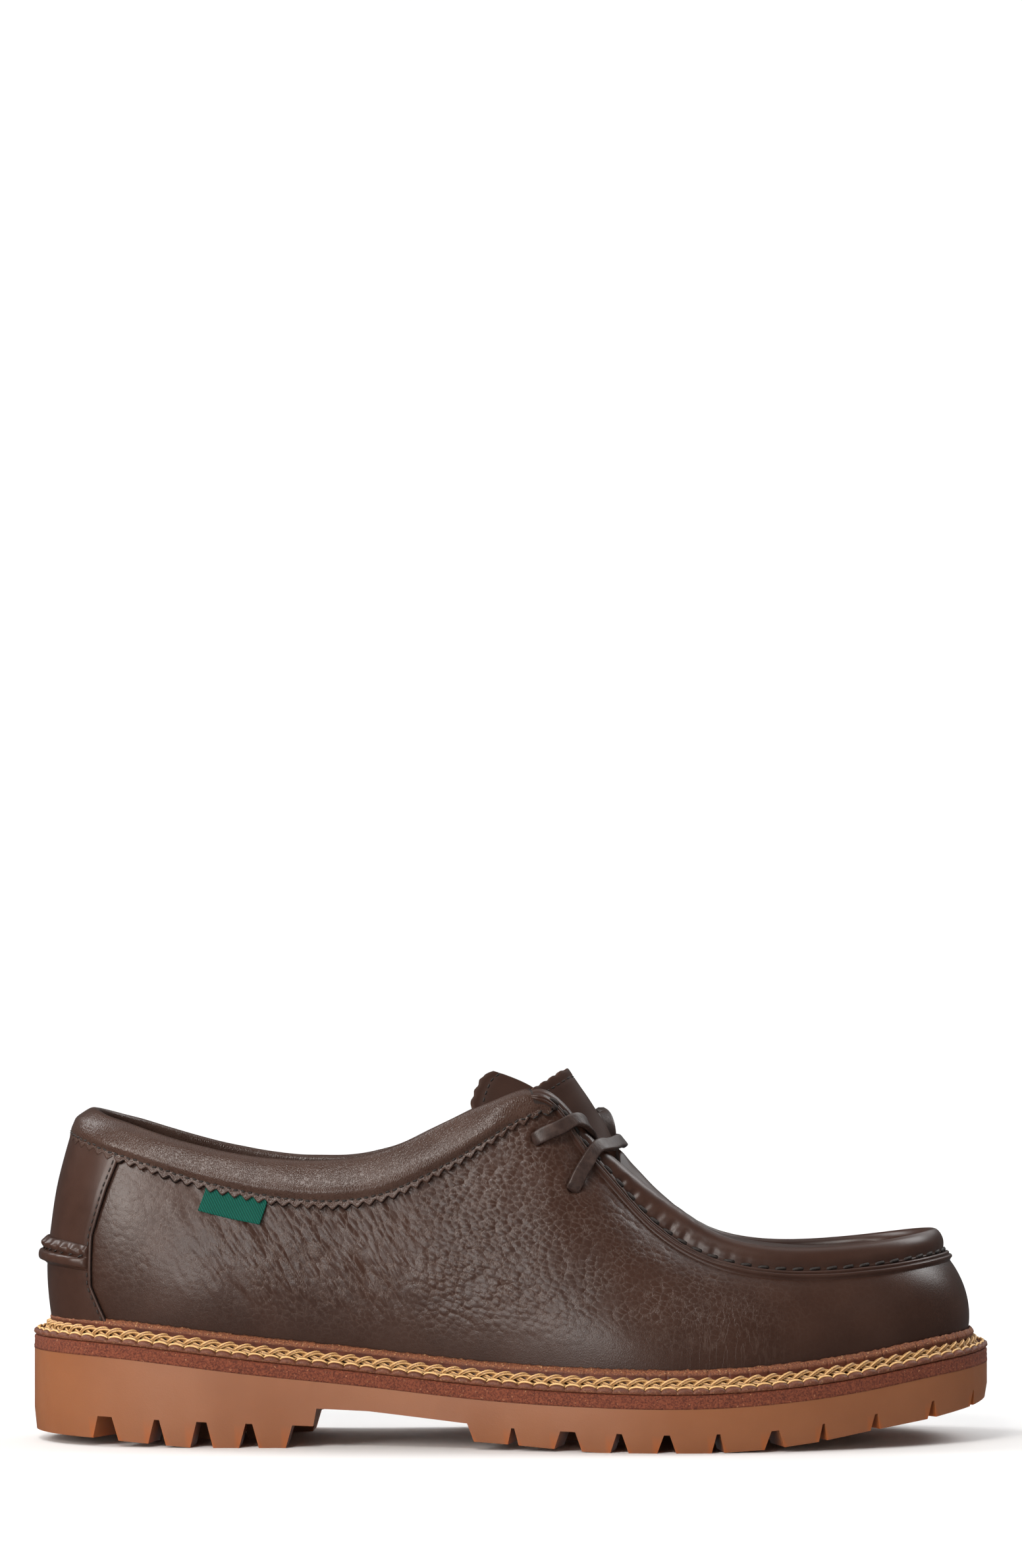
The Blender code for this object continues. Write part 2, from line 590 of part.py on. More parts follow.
def make_braid(collection):
    """Braided stitching along the corner of the welt, as one round ring."""
    w = round_places()
    middle = beside_wall(w, WELT_FLANGE + 2 * GAP + BRAID_RADIUS, 2 * GAP + WELT_THICK + BRAID_RADIUS)
    normal = outline(w)[1]
    out = np.concatenate([normal, np.zeros((len(w), 1))], axis=1)
    turn = np.linspace(0, 2 * np.pi, BRAID_SIDES + 1)[:-1]
    rings = middle[:, None] + BRAID_RADIUS * (
        out[:, None] * np.cos(turn)[None, :, None] + np.array([0, 0, 1.0]) * np.sin(turn)[None, :, None])
    add_piece("welt_braid", rings, loft_faces(len(w), len(turn), True), collection)


def rim_axes(w, step=1e-3):
    """Directions at the top edge: up the rim, inwards across it, and square to the edge without any lean."""
    along = unit(wall_frame(w + step)[3] - wall_frame(w - step)[3])
    up = np.array([0.0, 0.0, 1.0])
    straight = unit(up - along * (along @ up)[:, None])
    inward = np.cross(straight, along)
    lean = np.radians(wall_table(w)[:, 8:9])
    rise = np.cos(lean) * straight + np.sin(lean) * inward
    across = np.cos(lean) * inward - np.sin(lean) * straight
    return rise, across, straight


def rim_share(w):
    """0 along the plain top line of the quarters, 1 where the rim stands full."""
    return np.clip((wall_table(w)[:, 7] - EDGE_RIM) / (FULL_RIM - EDGE_RIM), 0, 1)


def rim_depth(w):
    """How deep the rim's section is, as a share of its depth where the rim stands full."""
    return EDGE_DEPTH + (1 - EDGE_DEPTH) * rim_share(w)


def upper_skins(w):
    """Outer and inner points of the upper at each w, from the foot over the rim to the plug's middle."""
    v_flange = v_below_top(w, FLANGE_WIDE)
    share = rim_share(w)
    top_v = v_flange[:, None] + (1 - v_flange[:, None]) * np.array(FLANGE_ROWS)
    v = np.concatenate([v_flange[:, None] * np.array(WALL_ROWS), top_v], axis=1)
    skin = wall(w, v)
    normal = wall_normal(w, v)
    proud = np.zeros_like(v)
    proud[:, -3:-1] = FLANGE_OUT * share[:, None]
    proud[:, -1] = -GROOVE_DEEP * share
    outer = skin + normal * proud[..., None]
    inner = skin - normal * WALL_THICK

    tall = wall_table(w)[:, 7]
    up, across, straight = rim_axes(w)
    depth = rim_depth(w)
    edge = skin[:, -1]
    rim = np.stack([
        edge + up * (tall * h)[:, None] + across * (depth * d if d > 0 else share * d)[:, None]
        for h, d in RIM_SECTION
    ], axis=1)
    below, between = rim[:, -1] - straight * PLUG_THICK, (rim[:, -1] + inner[:, -1]) / 2
    under = share[:, None] * below + (1 - share[:, None]) * between
    fill = np.linspace(0, 1, len(RIM_SECTION) + 1)[1:]
    lining = inner[:, -1:] * (1 - fill)[None, :, None] + under[:, None] * fill[None, :, None]

    s = np.where(w > 1, 2 - w, w)
    x = PLUG_BACK_X + (PLUG_FRONT_X - PLUG_BACK_X) * np.clip((s - THROAT_S) / (1 - THROAT_S), 0, 1)
    ridge = np.stack([x, centre_y(w), flowing(PLUG_LINE, x)], axis=1)
    slope = (flowing(PLUG_LINE, x + 0.5) - flowing(PLUG_LINE, x - 0.5))[:, None]
    square = unit(np.concatenate([-slope, np.zeros_like(slope), np.ones_like(slope)], axis=1))
    rows = np.array(PLUG_ROWS)[None, :, None]
    ease = rows * rows * (3 - 2 * rows)
    up_axis = np.array([0.0, 0.0, 1.0])

    def over(start, end):
        flat = start[:, None] * (1 - rows) + end[:, None] * rows
        return flat + (ease - rows) * ((end - start) @ up_axis)[:, None, None] * up_axis

    outer = np.concatenate([outer, rim, over(rim[:, -1], ridge)], axis=1)
    inner = np.concatenate([inner, lining, over(under, ridge - square * PLUG_THICK)], axis=1)
    return outer, inner


def make_upper(collection):
    """Hollow upper: a leather wall round the foot with the raised moc seam, and the plug."""
    w = round_places()
    outer, inner = upper_skins(w)
    columns, rows = outer.shape[:2]
    ring_rows = rows - len(PLUG_ROWS)
    throat = int(np.argmin(np.abs(side_places() - THROAT_S)))
    cells = [(i, j) for i in range(columns) for j in range(ring_rows - 1)]
    cells += [(i, j) for i in range(throat, columns - throat) for j in range(ring_rows - 1, rows - 1)]
    shared = [(columns - i, i) for i in range(throat, SIDE_COLUMNS)]
    points = np.concatenate([outer.reshape(-1, 3), inner.reshape(-1, 3)])
    add_piece("upper", points, shell_faces(columns, rows, cells, shared), collection)


def make_collar(collection):
    """Padded cuff: a leaf down the outside, a fold over the top line and a leaf down the inside.

    Ahead of the fold the outer leaf alone tapers to a point below the moc seam's flange.
    """
    s = side_places()
    s = np.concatenate([s[s < FOLD_END_S - 0.01], [FOLD_END_S], CUFF_END_S])
    w = np.concatenate([-s[:0:-1], s])
    folded = np.abs(w) <= FOLD_END_S
    shares, swell = np.array(CUFF_ROWS).T
    depth = level(COLLAR_DEPTH, np.abs(w))
    start = np.where(folded, 0.0, FLANGE_WIDE + 2 * GAP)
    v_out = np.stack([v_below_top(w, start + (depth - start) * share) for share in shares], axis=1)
    v_in = np.stack([v_below_top(w, COLLAR_LINING * share) for share in LINING_ROWS], axis=1)
    puff = np.where(folded[:, None], swell, 0.0)[..., None]
    outside, inside = wall(w, v_out), wall(w, v_in)
    n_out, n_in = wall_normal(w, v_out), wall_normal(w, v_in)
    top = wall_frame(w)[3]
    up, across, _ = rim_axes(w)
    tall = wall_table(w)[:, 7:8]
    clear = COLLAR_CLEAR + FLANGE_OUT * rim_share(w)[:, None, None]
    back = np.maximum(WALL_THICK, RIM_SECTION[-1][1] * rim_depth(w))[:, None] + rim_share(w)[:, None]

    def leaf(thick, puff, rise, spread):
        fold = [top + up * (tall + rise) + across * place for place in (-spread, back + spread)]
        return np.concatenate([
            outside + n_out * (clear + thick + puff),
            np.stack(fold, axis=1),
            inside - n_in * (back[:, None] + COLLAR_CLEAR + thick),
        ], axis=1)

    outer = leaf(COLLAR_THICK, puff, GAP + COLLAR_THICK, -COLLAR_ROUND)
    inner = leaf(0.0, 0.0, GAP, GAP)
    columns, rows = outer.shape[:2]
    cells = [(i, j) for i, j in open_cells(columns, rows)
             if (folded[i] and folded[i + 1]) or j < len(shares) - 1]
    points = np.concatenate([outer.reshape(-1, 3), inner.reshape(-1, 3)])
    add_piece("collar_binding", points, shell_faces(columns, rows, cells), collection)


def strap_places(shares, row):
    """w and v across the back strap at a share of its height, from the welt up to the cuff's lower edge."""
    w = shares * level(STRAP_EDGE, row)
    low = v_at_height(w, WELT_TALL + 1.0)
    high = v_below_top(w, level(COLLAR_DEPTH, np.abs(w)) + 2 * GAP)
    return w, (low + (high - low) * row)[:, None]


def strap_points(w, v, lift):
    return (wall(w, v) + wall_normal(w, v) * np.reshape(lift, (-1, 1, 1)))[:, 0]


def make_back_strap(collection):
    shares = np.linspace(-1, 1, 11)
    rows = np.linspace(0, 1, 8)
    skins = []
    for lift, trim in ((STRAP_CLEAR + STRAP_THICK, STRAP_TRIM), (STRAP_CLEAR, 1.0)):
        strips = [strap_points(*strap_places(shares * trim, row), lift) for row in rows]
        skins.append(np.stack(strips, axis=1).reshape(-1, 3))
    faces = shell_faces(len(shares), len(rows), open_cells(len(shares), len(rows)))
    add_piece("back_strap", np.concatenate(skins), faces, collection)


def make_heel_tab(collection):
    """Ridge across the back strap, a small lip in section."""
    shares = np.linspace(-TAB_REACH, TAB_REACH, 13)
    fade = np.sqrt(1 - np.abs(shares)**6)
    clear = STRAP_CLEAR + STRAP_THICK + GAP
    rings = []
    for up, out in TAB_SECTION:
        w, v = strap_places(shares, TAB_ROWS[0] + (TAB_ROWS[1] - TAB_ROWS[0]) * up)
        rings.append(strap_points(w, v, clear + TAB_PROUD * out * fade))
    rings = np.stack(rings, axis=1)
    add_piece("heel_tab", rings, loft_faces(len(shares), len(TAB_SECTION), False), collection)


def make_tongue(collection):
    """Tongue: a sheet through the strands of TONGUE, thickened inwards."""
    cage = np.array(TONGUE, float)
    along = np.linspace(0, len(cage) - 1, 10)
    across = np.linspace(0, cage.shape[1] - 1, 16)
    strands = spline(range(len(cage)), cage.reshape(len(cage), -1), along).reshape(len(along), -1, 3)
    sheet = spline(range(cage.shape[1]), strands.transpose(1, 0, 2).reshape(cage.shape[1], -1), across)
    sheet = sheet.reshape(len(across), len(along), 3)
    rows, columns = len(across), len(along)
    faces = [(i * columns + j, (i + 1) * columns + j, (i + 1) * columns + j + 1, i * columns + j + 1)
             for i in range(rows - 1) for j in range(columns - 1)]
    piece = add_piece("tongue", sheet, faces, collection)
    thick = piece.modifiers.new("leather", "SOLIDIFY")
    thick.thickness = TONGUE_THICK * MM
    thick.offset = -1
    return piece


def strap_rings(route, facing, points):
    """Flat strap with eased edges along a curve through the route; facing is the way its face looks."""
    at = np.linspace(0, len(route) - 1, points)
    middle = spline(range(len(route)), route, at)
    along = unit(np.gradient(middle, axis=0))
    out = spline(range(len(route)), facing, at)
    out = unit(out - along * np.sum(out * along, axis=1, keepdims=True))
    side = np.cross(along, out)
    half, thin, ease = LACE_WIDE / 2, LACE_THICK / 2, LACE_EASE
    section = [(-half, -thin + ease), (-half + ease, -thin), (half - ease, -thin), (half, -thin + ease),
               (half, thin - ease), (half - ease, thin), (-half + ease, thin), (-half, thin - ease)]
    return np.stack([middle + side * a + out * b for a, b in section], axis=1)


def lace_side(place, inner):
    """Points of a lace from its hole up the wall and over the rim, and the way it faces at each."""
    def around(s):
        return np.array([2 - s if inner else s])

    points, facing = [], []
    for s, z, clear in place["wall"]:
        w = around(s)
        v = v_at_height(w, z - wall_frame(w)[0][:, 2])[:, None]
        facing.append(wall_normal(w, v)[0, 0])
        points.append(wall(w, v)[0, 0] + facing[-1] * (LACE_THICK / 2 + clear))
    rim_places = np.linspace(*place["rim"], len(LACE_OVER))
    for s, (share, depth, out_up, out_across) in zip(rim_places, LACE_OVER):
        w = around(s)
        up, across, _ = (axis[0] for axis in rim_axes(w))
        facing.append(up * out_up + across * out_across)
        base = wall_frame(w)[3][0] + up * share * wall_table(w)[0, 7] + across * depth
        points.append(base + facing[-1] * (LACE_THICK / 2 + LACE_CLEAR))
    return np.array(points), np.array(facing)


def make_lace(collection, cutters):
    """Lace: one bar over the lower holes, and on each side a strap from the upper hole to that bar."""
    near, near_face = lace_side(LACE_BAR, False)
    far, far_face = lace_side(LACE_BAR, True)
    route = np.concatenate([near, BAR_MIDDLE, far[::-1]])
    facing = np.concatenate([near_face, [LACE_FACE] * len(BAR_MIDDLE), far_face[::-1]])
    rings = strap_rings(route, facing, 25)
    lace = add_piece("lace", rings, loft_faces(*rings.shape[:2], False), collection)
    for name, inner, tuck in (("outer_end", False, OUTER_TUCK), ("inner_end", True, INNER_TUCK)):
        points, face = lace_side(LACE_END, inner)
        facing = np.concatenate([face, [LACE_FACE] * len(tuck)])
        rings = strap_rings(np.concatenate([points, tuck]), facing, 13)
        end = add_piece(name, rings, loft_faces(*rings.shape[:2], False), cutters)
        end.hide_render = True
        end.display_type = "WIRE"
        join = lace.modifiers.new(name, "BOOLEAN")
        join.operation = "UNION"
        join.object = end
    return lace


def make_label(collection):
    """Blank woven tab that hangs from under the cuff on the outer side."""
    rows = np.linspace(0, 1, 3)
    s = np.linspace(*LABEL_S, 4)
    skins = []
    for lift in (GAP + LABEL_THICK, GAP):
        strips = []
        for row in rows:
            w = s + LABEL_LEAN * (1 - row)
            v = v_below_top(w, level(COLLAR_DEPTH, w) + LABEL_DROP + LABEL_TALL * (1 - row))[:, None]
            strips.append((wall(w, v) + wall_normal(w, v) * lift)[:, 0])
        skins.append(np.stack(strips, axis=1).reshape(-1, 3))
    faces = shell_faces(len(s), len(rows), open_cells(len(s), len(rows)))
    add_piece("label_tab", np.concatenate(skins), faces, collection)


def main():
    for old in list(bpy.data.objects):
        bpy.data.objects.remove(old)
    shoe = bpy.data.collections.new("moc_toe_shoe")
    cutters = bpy.data.collections.new("helpers")
    for collection in (shoe, cutters):
        bpy.context.scene.collection.children.link(collection)
    make_outsole(shoe, cutters)
    make_midsole(shoe)
    make_insole(shoe)
    make_welt(shoe)
    make_braid(shoe)
    make_upper(shoe)
    make_collar(shoe)
    make_back_strap(shoe)
    make_heel_tab(shoe)
    make_tongue(shoe)
    make_lace(shoe, cutters)
    make_label(shoe)


main()
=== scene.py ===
# %% [markdown]
# A brown moc toe shoe for the right foot, shown from its outer side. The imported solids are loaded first, as
# the fixed frame that every piece below has to sit on. Sizes are in millimetres in this lesson, and a mesh
# is scaled to metres when it is made. The toe points along +X, the outer side is towards -Y, and the shoe
# stands on z = 0.

import bmesh
import bpy
import numpy as np
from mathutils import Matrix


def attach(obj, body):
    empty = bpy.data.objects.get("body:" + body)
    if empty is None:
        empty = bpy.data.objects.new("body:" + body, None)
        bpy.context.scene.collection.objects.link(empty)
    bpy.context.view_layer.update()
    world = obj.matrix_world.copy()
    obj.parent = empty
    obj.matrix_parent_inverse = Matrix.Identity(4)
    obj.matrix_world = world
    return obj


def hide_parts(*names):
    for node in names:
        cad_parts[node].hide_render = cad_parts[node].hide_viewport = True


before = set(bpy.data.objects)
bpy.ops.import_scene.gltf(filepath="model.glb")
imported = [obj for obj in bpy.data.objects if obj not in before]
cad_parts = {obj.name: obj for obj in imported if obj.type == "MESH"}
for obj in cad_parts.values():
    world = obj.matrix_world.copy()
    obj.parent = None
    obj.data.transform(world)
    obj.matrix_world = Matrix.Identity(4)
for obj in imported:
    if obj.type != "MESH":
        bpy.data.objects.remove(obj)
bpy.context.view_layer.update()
MM = 0.001

# %% [markdown]
# Every form of the shoe runs round the sole, so the first thing to have is the sole's outline. A place on
# it is called w: it goes from 0 at the back of the heel, along the outer side, to 1 at the tip of the toe,
# and along the inner side back to the heel at 2. A hand-drawn outline could be traced as a curve object,
# but a cubic spline in numpy gives points and outward normals for any w at once, and the upper can be built
# on the same numbers.

# %% A cubic curve through points, and the sole's outline
HEEL_X, TOE_X, TOE_Y = -151.0, 151.0, 5.0
SOLE_OUTLINE = (
    (-144.5, 19.0, 18.5), (-128.0, 31.0, 30.8), (-104.0, 36.3, 36.3), (-72.0, 37.0, 35.3),
    (-42.0, 38.5, 35.0), (-12.0, 43.5, 38.2), (18.0, 50.5, 45.3), (46.0, 54.2, 52.4),
    (74.0, 52.0, 54.1), (100.0, 45.2, 50.2), (124.0, 34.5, 42.8), (142.5, 20.5, 30.0),
)
OUTLINE_STEPS = 4000


def spline(knots, rows, at, period=None):
    """Cubic curve with continuous curvature through the rows: its bends solve one tridiagonal system."""
    knots = np.asarray(knots, float)
    rows = np.asarray(rows, float).reshape(len(knots), -1)
    if period:
        knots = np.concatenate([knots - period, knots, knots + period])
        rows = np.concatenate([rows, rows, rows])
    span = np.diff(knots)
    slope = np.diff(rows, axis=0) / span[:, None]
    inside = np.arange(1, len(knots) - 1)
    system = np.eye(len(knots))
    system[inside, inside - 1] = span[:-1]
    system[inside, inside] = 2 * (span[:-1] + span[1:])
    system[inside, inside + 1] = span[1:]
    bend = np.zeros_like(rows)
    bend[1:-1] = 6 * np.diff(slope, axis=0)
    bend = np.linalg.solve(system, bend)
    at = np.asarray(at, float)
    k = np.clip(np.searchsorted(knots, at, side="right") - 1, 0, len(knots) - 2)
    step = span[k][..., None]
    a = (knots[k + 1] - at)[..., None] / step
    b = 1 - a
    return a * rows[k] + b * rows[k + 1] + ((a**3 - a) * bend[k] + (b**3 - b) * bend[k + 1]) * step**2 / 6


def unit(vectors):
    """Vectors of length 1 in the same directions."""
    return vectors / np.linalg.norm(vectors, axis=-1, keepdims=True)


def blend_rows(at, knots, rows):
    """Rows of an array that belong to rising knots, blended between neighbours at other places."""
    return np.stack([np.interp(at, knots, column) for column in rows.T], axis=-1)


def reach_along(line):
    """Distance from the start of a line of points to each of them, for one line or for rows of lines."""
    reach = np.cumsum(np.linalg.norm(np.diff(line, axis=-2), axis=-1), axis=-1)
    return np.concatenate([np.zeros_like(reach[..., :1]), reach], axis=-1)


def trace_outline():
    """Dense points of the outline, their outward normals and their w."""
    outer = [(x, -wide) for x, wide, _ in SOLE_OUTLINE]
    inner = [(x, wide) for x, _, wide in reversed(SOLE_OUTLINE)]
    corners = np.array([(HEEL_X, 0.0), *outer, (TOE_X, TOE_Y), *inner])
    reach = reach_along(np.vstack([corners, corners[:1]]))
    at = np.linspace(0, reach[-1], OUTLINE_STEPS + 1)
    points = spline(reach[:-1], corners, at[:-1], period=reach[-1])
    points = np.vstack([points, points[:1]])
    along = reach_along(points)
    tip = np.interp(reach[len(outer) + 1], at, along)
    w = np.where(along <= tip, along / tip, 1 + (along - tip) / (along[-1] - tip))
    ahead = np.gradient(np.vstack([points[-2], points, points[1]]), axis=0)[1:-1]
    return w, points, unit(np.stack([ahead[:, 1], -ahead[:, 0]], axis=1)), along[-1] / 2


OUTLINE_W, OUTLINE_POINTS, OUTLINE_NORMALS, HALF_ROUND = trace_outline()


def outline(w, inset=0.0):
    """Outline points moved inwards by the inset, and the outward normals there."""
    w = np.mod(w, 2.0)
    point = blend_rows(w, OUTLINE_W, OUTLINE_POINTS)
    normal = unit(blend_rows(w, OUTLINE_W, OUTLINE_NORMALS))
    return point - normal * np.asarray(inset)[..., None], normal


def all_round(count):
    """Places w spaced evenly round the shoe."""
    return np.linspace(0, 2, count, endpoint=False)


def raised(plan, z):
    """Points of a plan with their heights as the third coordinate."""
    z = np.asarray(z, float)[..., None]
    return np.concatenate([plan, np.broadcast_to(z, plan.shape[:-1] + (1,))], axis=-1)


def outwards(w):
    """Level direction away from the shoe at each w."""
    return raised(outline(w)[1], 0.0)


print("outline: half way round is", round(HALF_ROUND, 1), "mm")

# %% [markdown]
# The upper's wall stands on the midsole inside the welt. At each w its section is one cubic arc from the
# foot to the top edge, so a table from heel to toe is enough: where the top edge is, how far the arc pushes
# out above the foot and below the top, and how tall the rim above the moc seam stands and leans. The solids
# use the same table. Its first column is w, and the names under it number the others.

# %% The wall of the upper as a surface of w and v
MIDSOLE_THICK, LEDGE, GAP = 4.0, 7.8, 0.3
RUBBER_TOP = (
    (-151, 29.2), (-122, 27.6), (-82, 23.0), (-44, 19.2), (-13, 16.0), (25, 14.0),
    (56, 13.7), (90, 15.9), (111, 18.7), (130, 21.9), (151, 24.8),
)
WALL = np.array((
    (0.000, -136.5, 0.0, 101.2, 24.0, 4.8, 26.0, 8.0, 1.2, 12.0),
    (0.050, -133.2, 11.5, 100.6, 24.0, 4.8, 26.0, 7.8, 1.2, 12.0),
    (0.100, -123.5, 20.0, 98.3, 24.0, 4.7, 26.0, 7.0, 1.2, 12.0),
    (0.160, -106.0, 25.5, 93.2, 23.0, 4.6, 25.0, 6.0, 1.2, 12.0),
    (0.240, -83.0, 28.5, 87.8, 22.0, 4.8, 24.0, 5.4, 1.2, 12.0),
    (0.320, -57.0, 29.5, 85.6, 22.0, 4.8, 24.0, 5.0, 1.2, 12.0),
    (0.380, -37.0, 29.5, 89.0, 24.0, 4.8, 25.0, 5.5, 1.2, 14.0),
    (0.430, -19.5, 29.0, 97.2, 27.0, 4.6, 28.0, 6.0, 1.2, 18.0),
    (0.475, -4.0, 27.8, 105.2, 30.0, 4.4, 30.0, 7.0, 1.2, 30.0),
    (0.505, 6.0, 26.5, 108.6, 31.0, 3.9, 30.0, 8.0, 2.6, 50.0),
    (0.530, 14.0, 25.5, 105.0, 29.0, 3.6, 27.0, 9.5, 4.5, 50.0),
    (0.555, 21.0, 25.0, 95.0, 26.0, 3.4, 23.0, 11.0, 5.5, 44.0),
    (0.580, 29.0, 25.0, 85.2, 23.0, 3.4, 18.0, 12.5, 6.3, 35.0),
    (0.610, 39.5, 26.3, 72.8, 20.0, 3.2, 13.0, 13.0, 7.2, 25.0),
    (0.645, 52.0, 29.3, 62.5, 17.0, 3.0, 9.0, 12.0, 7.7, 16.0),
    (0.690, 67.0, 33.0, 56.4, 14.0, 2.9, 7.5, 10.0, 8.0, 12.0),
    (0.750, 85.5, 34.6, 54.0, 13.0, 2.9, 7.0, 8.0, 8.0, 12.0),
    (0.820, 106.0, 32.2, 54.7, 12.5, 3.2, 7.0, 7.0, 8.0, 12.0),
    (0.880, 121.5, 26.0, 56.4, 12.0, 4.0, 7.0, 6.5, 8.0, 12.0),
    (0.940, 132.8, 14.5, 58.1, 12.0, 5.0, 7.0, 6.5, 8.0, 12.0),
    (1.000, 137.2, 0.0, 58.7, 12.0, 5.4, 7.0, 6.5, 8.0, 12.0),
))
TOP_X, TOP_Y, TOP_Z, FOOT_RISE, FOOT_PUSH, TOP_DROP, TOP_PUSH, RIM_TALL, RIM_LEAN = range(9)
UP = np.array([0.0, 0.0, 1.0])
ARC_STEPS = 200


def flowing(table, x):
    """Value from a table of pairs, along a smooth curve."""
    return spline(*zip(*table), x)[..., 0]


def straight(table, x):
    """Value from a table of pairs, along straight lines."""
    return np.interp(x, *zip(*table))


def seat(x):
    """Height of the midsole's top."""
    return flowing(RUBBER_TOP, x) + MIDSOLE_THICK


def side_of(w):
    """Share of the way from heel to toe on either side."""
    w = np.mod(w, 2.0)
    return np.where(w > 1, 2 - w, w)


def wall_table(w):
    """The table's columns at each w, with the half width signed by the side of the shoe."""
    outer, inner = WALL.copy(), WALL[-2:0:-1].copy()
    outer[:, 2] *= -1
    knots = np.concatenate([outer[:, 0], 2 - inner[:, 0]])
    return spline(knots, np.vstack([outer, inner])[:, 1:], np.mod(w, 2.0), period=2.0)


def centre_y(w):
    """Sideways place of the shoe's middle line."""
    s = side_of(w)
    return (outline(s, LEDGE)[0][..., 1] + outline(2 - s, LEDGE)[0][..., 1]) / 2


def wall_frame(w):
    """The four control points of the wall's arc at each w, from its foot to its top edge."""
    plan, out, table = outline(w, LEDGE)[0], outwards(w), wall_table(w)
    foot = raised(plan, seat(plan[..., 0]) + GAP)
    top = np.stack([table[..., TOP_X], centre_y(w) + table[..., TOP_Y], table[..., TOP_Z]], axis=-1)
    low = foot + UP * table[..., FOOT_RISE, None] + out * table[..., FOOT_PUSH, None]
    high = top - UP * table[..., TOP_DROP, None] + out * table[..., TOP_PUSH, None]
    return foot, low, high, top


def wall(w, v):
    """Outer face of the upper: at each w a cubic arc from the foot at v 0 to the top edge at v 1."""
    foot, low, high, top = (p[:, None, :] for p in wall_frame(w))
    v = v[..., None]
    return foot * (1 - v)**3 + 3 * low * v * (1 - v)**2 + 3 * high * v**2 * (1 - v) + top * v**3


def wall_normal(w, v, step=1e-3):
    """Outward normal of the wall, square to its steps along w and v."""
    return unit(np.cross(wall(w + step, v) - wall(w - step, v), wall(w, v + step) - wall(w, v - step)))


def lookup(table, target, v):
    """The v at which each rising row of the table reaches its targets."""
    i = np.clip((table[:, None, :] < target[:, :, None]).sum(axis=2) - 1, 0, table.shape[1] - 2)
    n = np.arange(len(table))[:, None]
    low, high = table[n, i], table[n, i + 1]
    return v[i] + np.clip((target - low) / np.maximum(high - low, 1e-9), 0, 1) * (v[i + 1] - v[i])


def v_at_height(w, heights):
    """The v at which the wall stands this high above its foot, a row of heights for each w."""
    v = np.linspace(0, 1, ARC_STEPS + 1)
    rise = wall(w, np.tile(v, (len(w), 1)))[..., 2]
    return lookup(rise - rise[:, :1], np.broadcast_to(heights, (len(w), np.shape(heights)[-1])), v)


def v_below_top(w, distances):
    """The v at which the wall lies this far below its top edge along the wall, a row of distances for each
    w."""
    v = np.linspace(0, 1, ARC_STEPS + 1)
    climbed = reach_along(wall(w, np.tile(v, (len(w), 1))))
    return lookup(climbed, climbed[:, -1:] - np.broadcast_to(distances, (len(w), np.shape(distances)[-1])), v)


def spot_at(w, z):
    """Point of the wall at one w and at this height above the ground, and the normal there."""
    w = np.array([w])
    v = v_at_height(w, z - wall_frame(w)[0][:, 2:])
    return wall(w, v)[0, 0], wall_normal(w, v)[0, 0]


print("wall: its top edge rises and falls by", round(float(np.ptp(WALL[:, 3])), 1), "mm")

# %% [markdown]
# A mesh is a list of points and a list of faces. Each surface below is a grid, so its faces are the quads
# between neighbours, worked out once for the whole array. Relief such as creases needs smooth chance, which
# Blender only gives to materials, so a small noise of random numbers at whole places, blended in between,
# is made here.

# %% Grids, pieces and smooth noise
def grid_faces(columns, rows, ring=False, tube=False):
    """Quads on a grid numbered column by column; ring joins the last column to the first, tube the rows."""
    ids = np.arange(columns * rows).reshape(columns, rows)
    ids = np.vstack([ids, ids[:1]]) if ring else ids
    ids = np.hstack([ids, ids[:, :1]]) if tube else ids
    return np.stack([ids[:-1, :-1], ids[1:, :-1], ids[1:, 1:], ids[:-1, 1:]], axis=-1).reshape(-1, 4).tolist()


def tube_faces(columns, rows, count=1):
    """Quads and end caps of so many closed tubes whose points follow each other."""
    starts = np.arange(count)[:, None, None] * columns * rows
    caps = [range(rows), range((columns - 1) * rows, columns * rows)]
    parts = np.array(grid_faces(columns, rows, tube=True)), np.array(caps)
    return [face for part in parts for face in (part + starts).reshape(-1, part.shape[1]).tolist()]


def add_piece(name, points, faces, finishes, slot, nodes=(), closed=True, merge=0.0, **marks):
    """Object from points in millimetres that rides with the shoe; closed shells get their faces turned
    outwards. Marks are numbers at the points that a finish can read."""
    mesh = bpy.data.meshes.new(name)
    mesh.from_pydata((np.reshape(points, (-1, 3)) * MM).tolist(), [], faces)
    for key, values in marks.items():
        values = np.broadcast_to(values, np.shape(points)[:-1]).ravel().astype(np.float32)
        mesh.attributes.new(key, "FLOAT", "POINT").data.foreach_set("value", values)
    form = bmesh.new()
    form.from_mesh(mesh)
    bmesh.ops.delete(form, geom=[point for point in form.verts if not point.link_faces], context="VERTS")
    if merge:
        bmesh.ops.remove_doubles(form, verts=form.verts, dist=merge * MM)
    if closed:
        bmesh.ops.recalc_face_normals(form, faces=form.faces)
    form.to_mesh(mesh)
    form.free()
    mesh.shade_smooth()
    for material in finishes:
        mesh.materials.append(material)
    piece = bpy.data.objects.new(name, mesh)
    bpy.context.scene.collection.objects.link(piece)
    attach(piece, "root")
    if nodes:
        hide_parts(*nodes)
    print(name + ":", len(mesh.vertices), "points,", len(mesh.polygons), "faces")
    return piece


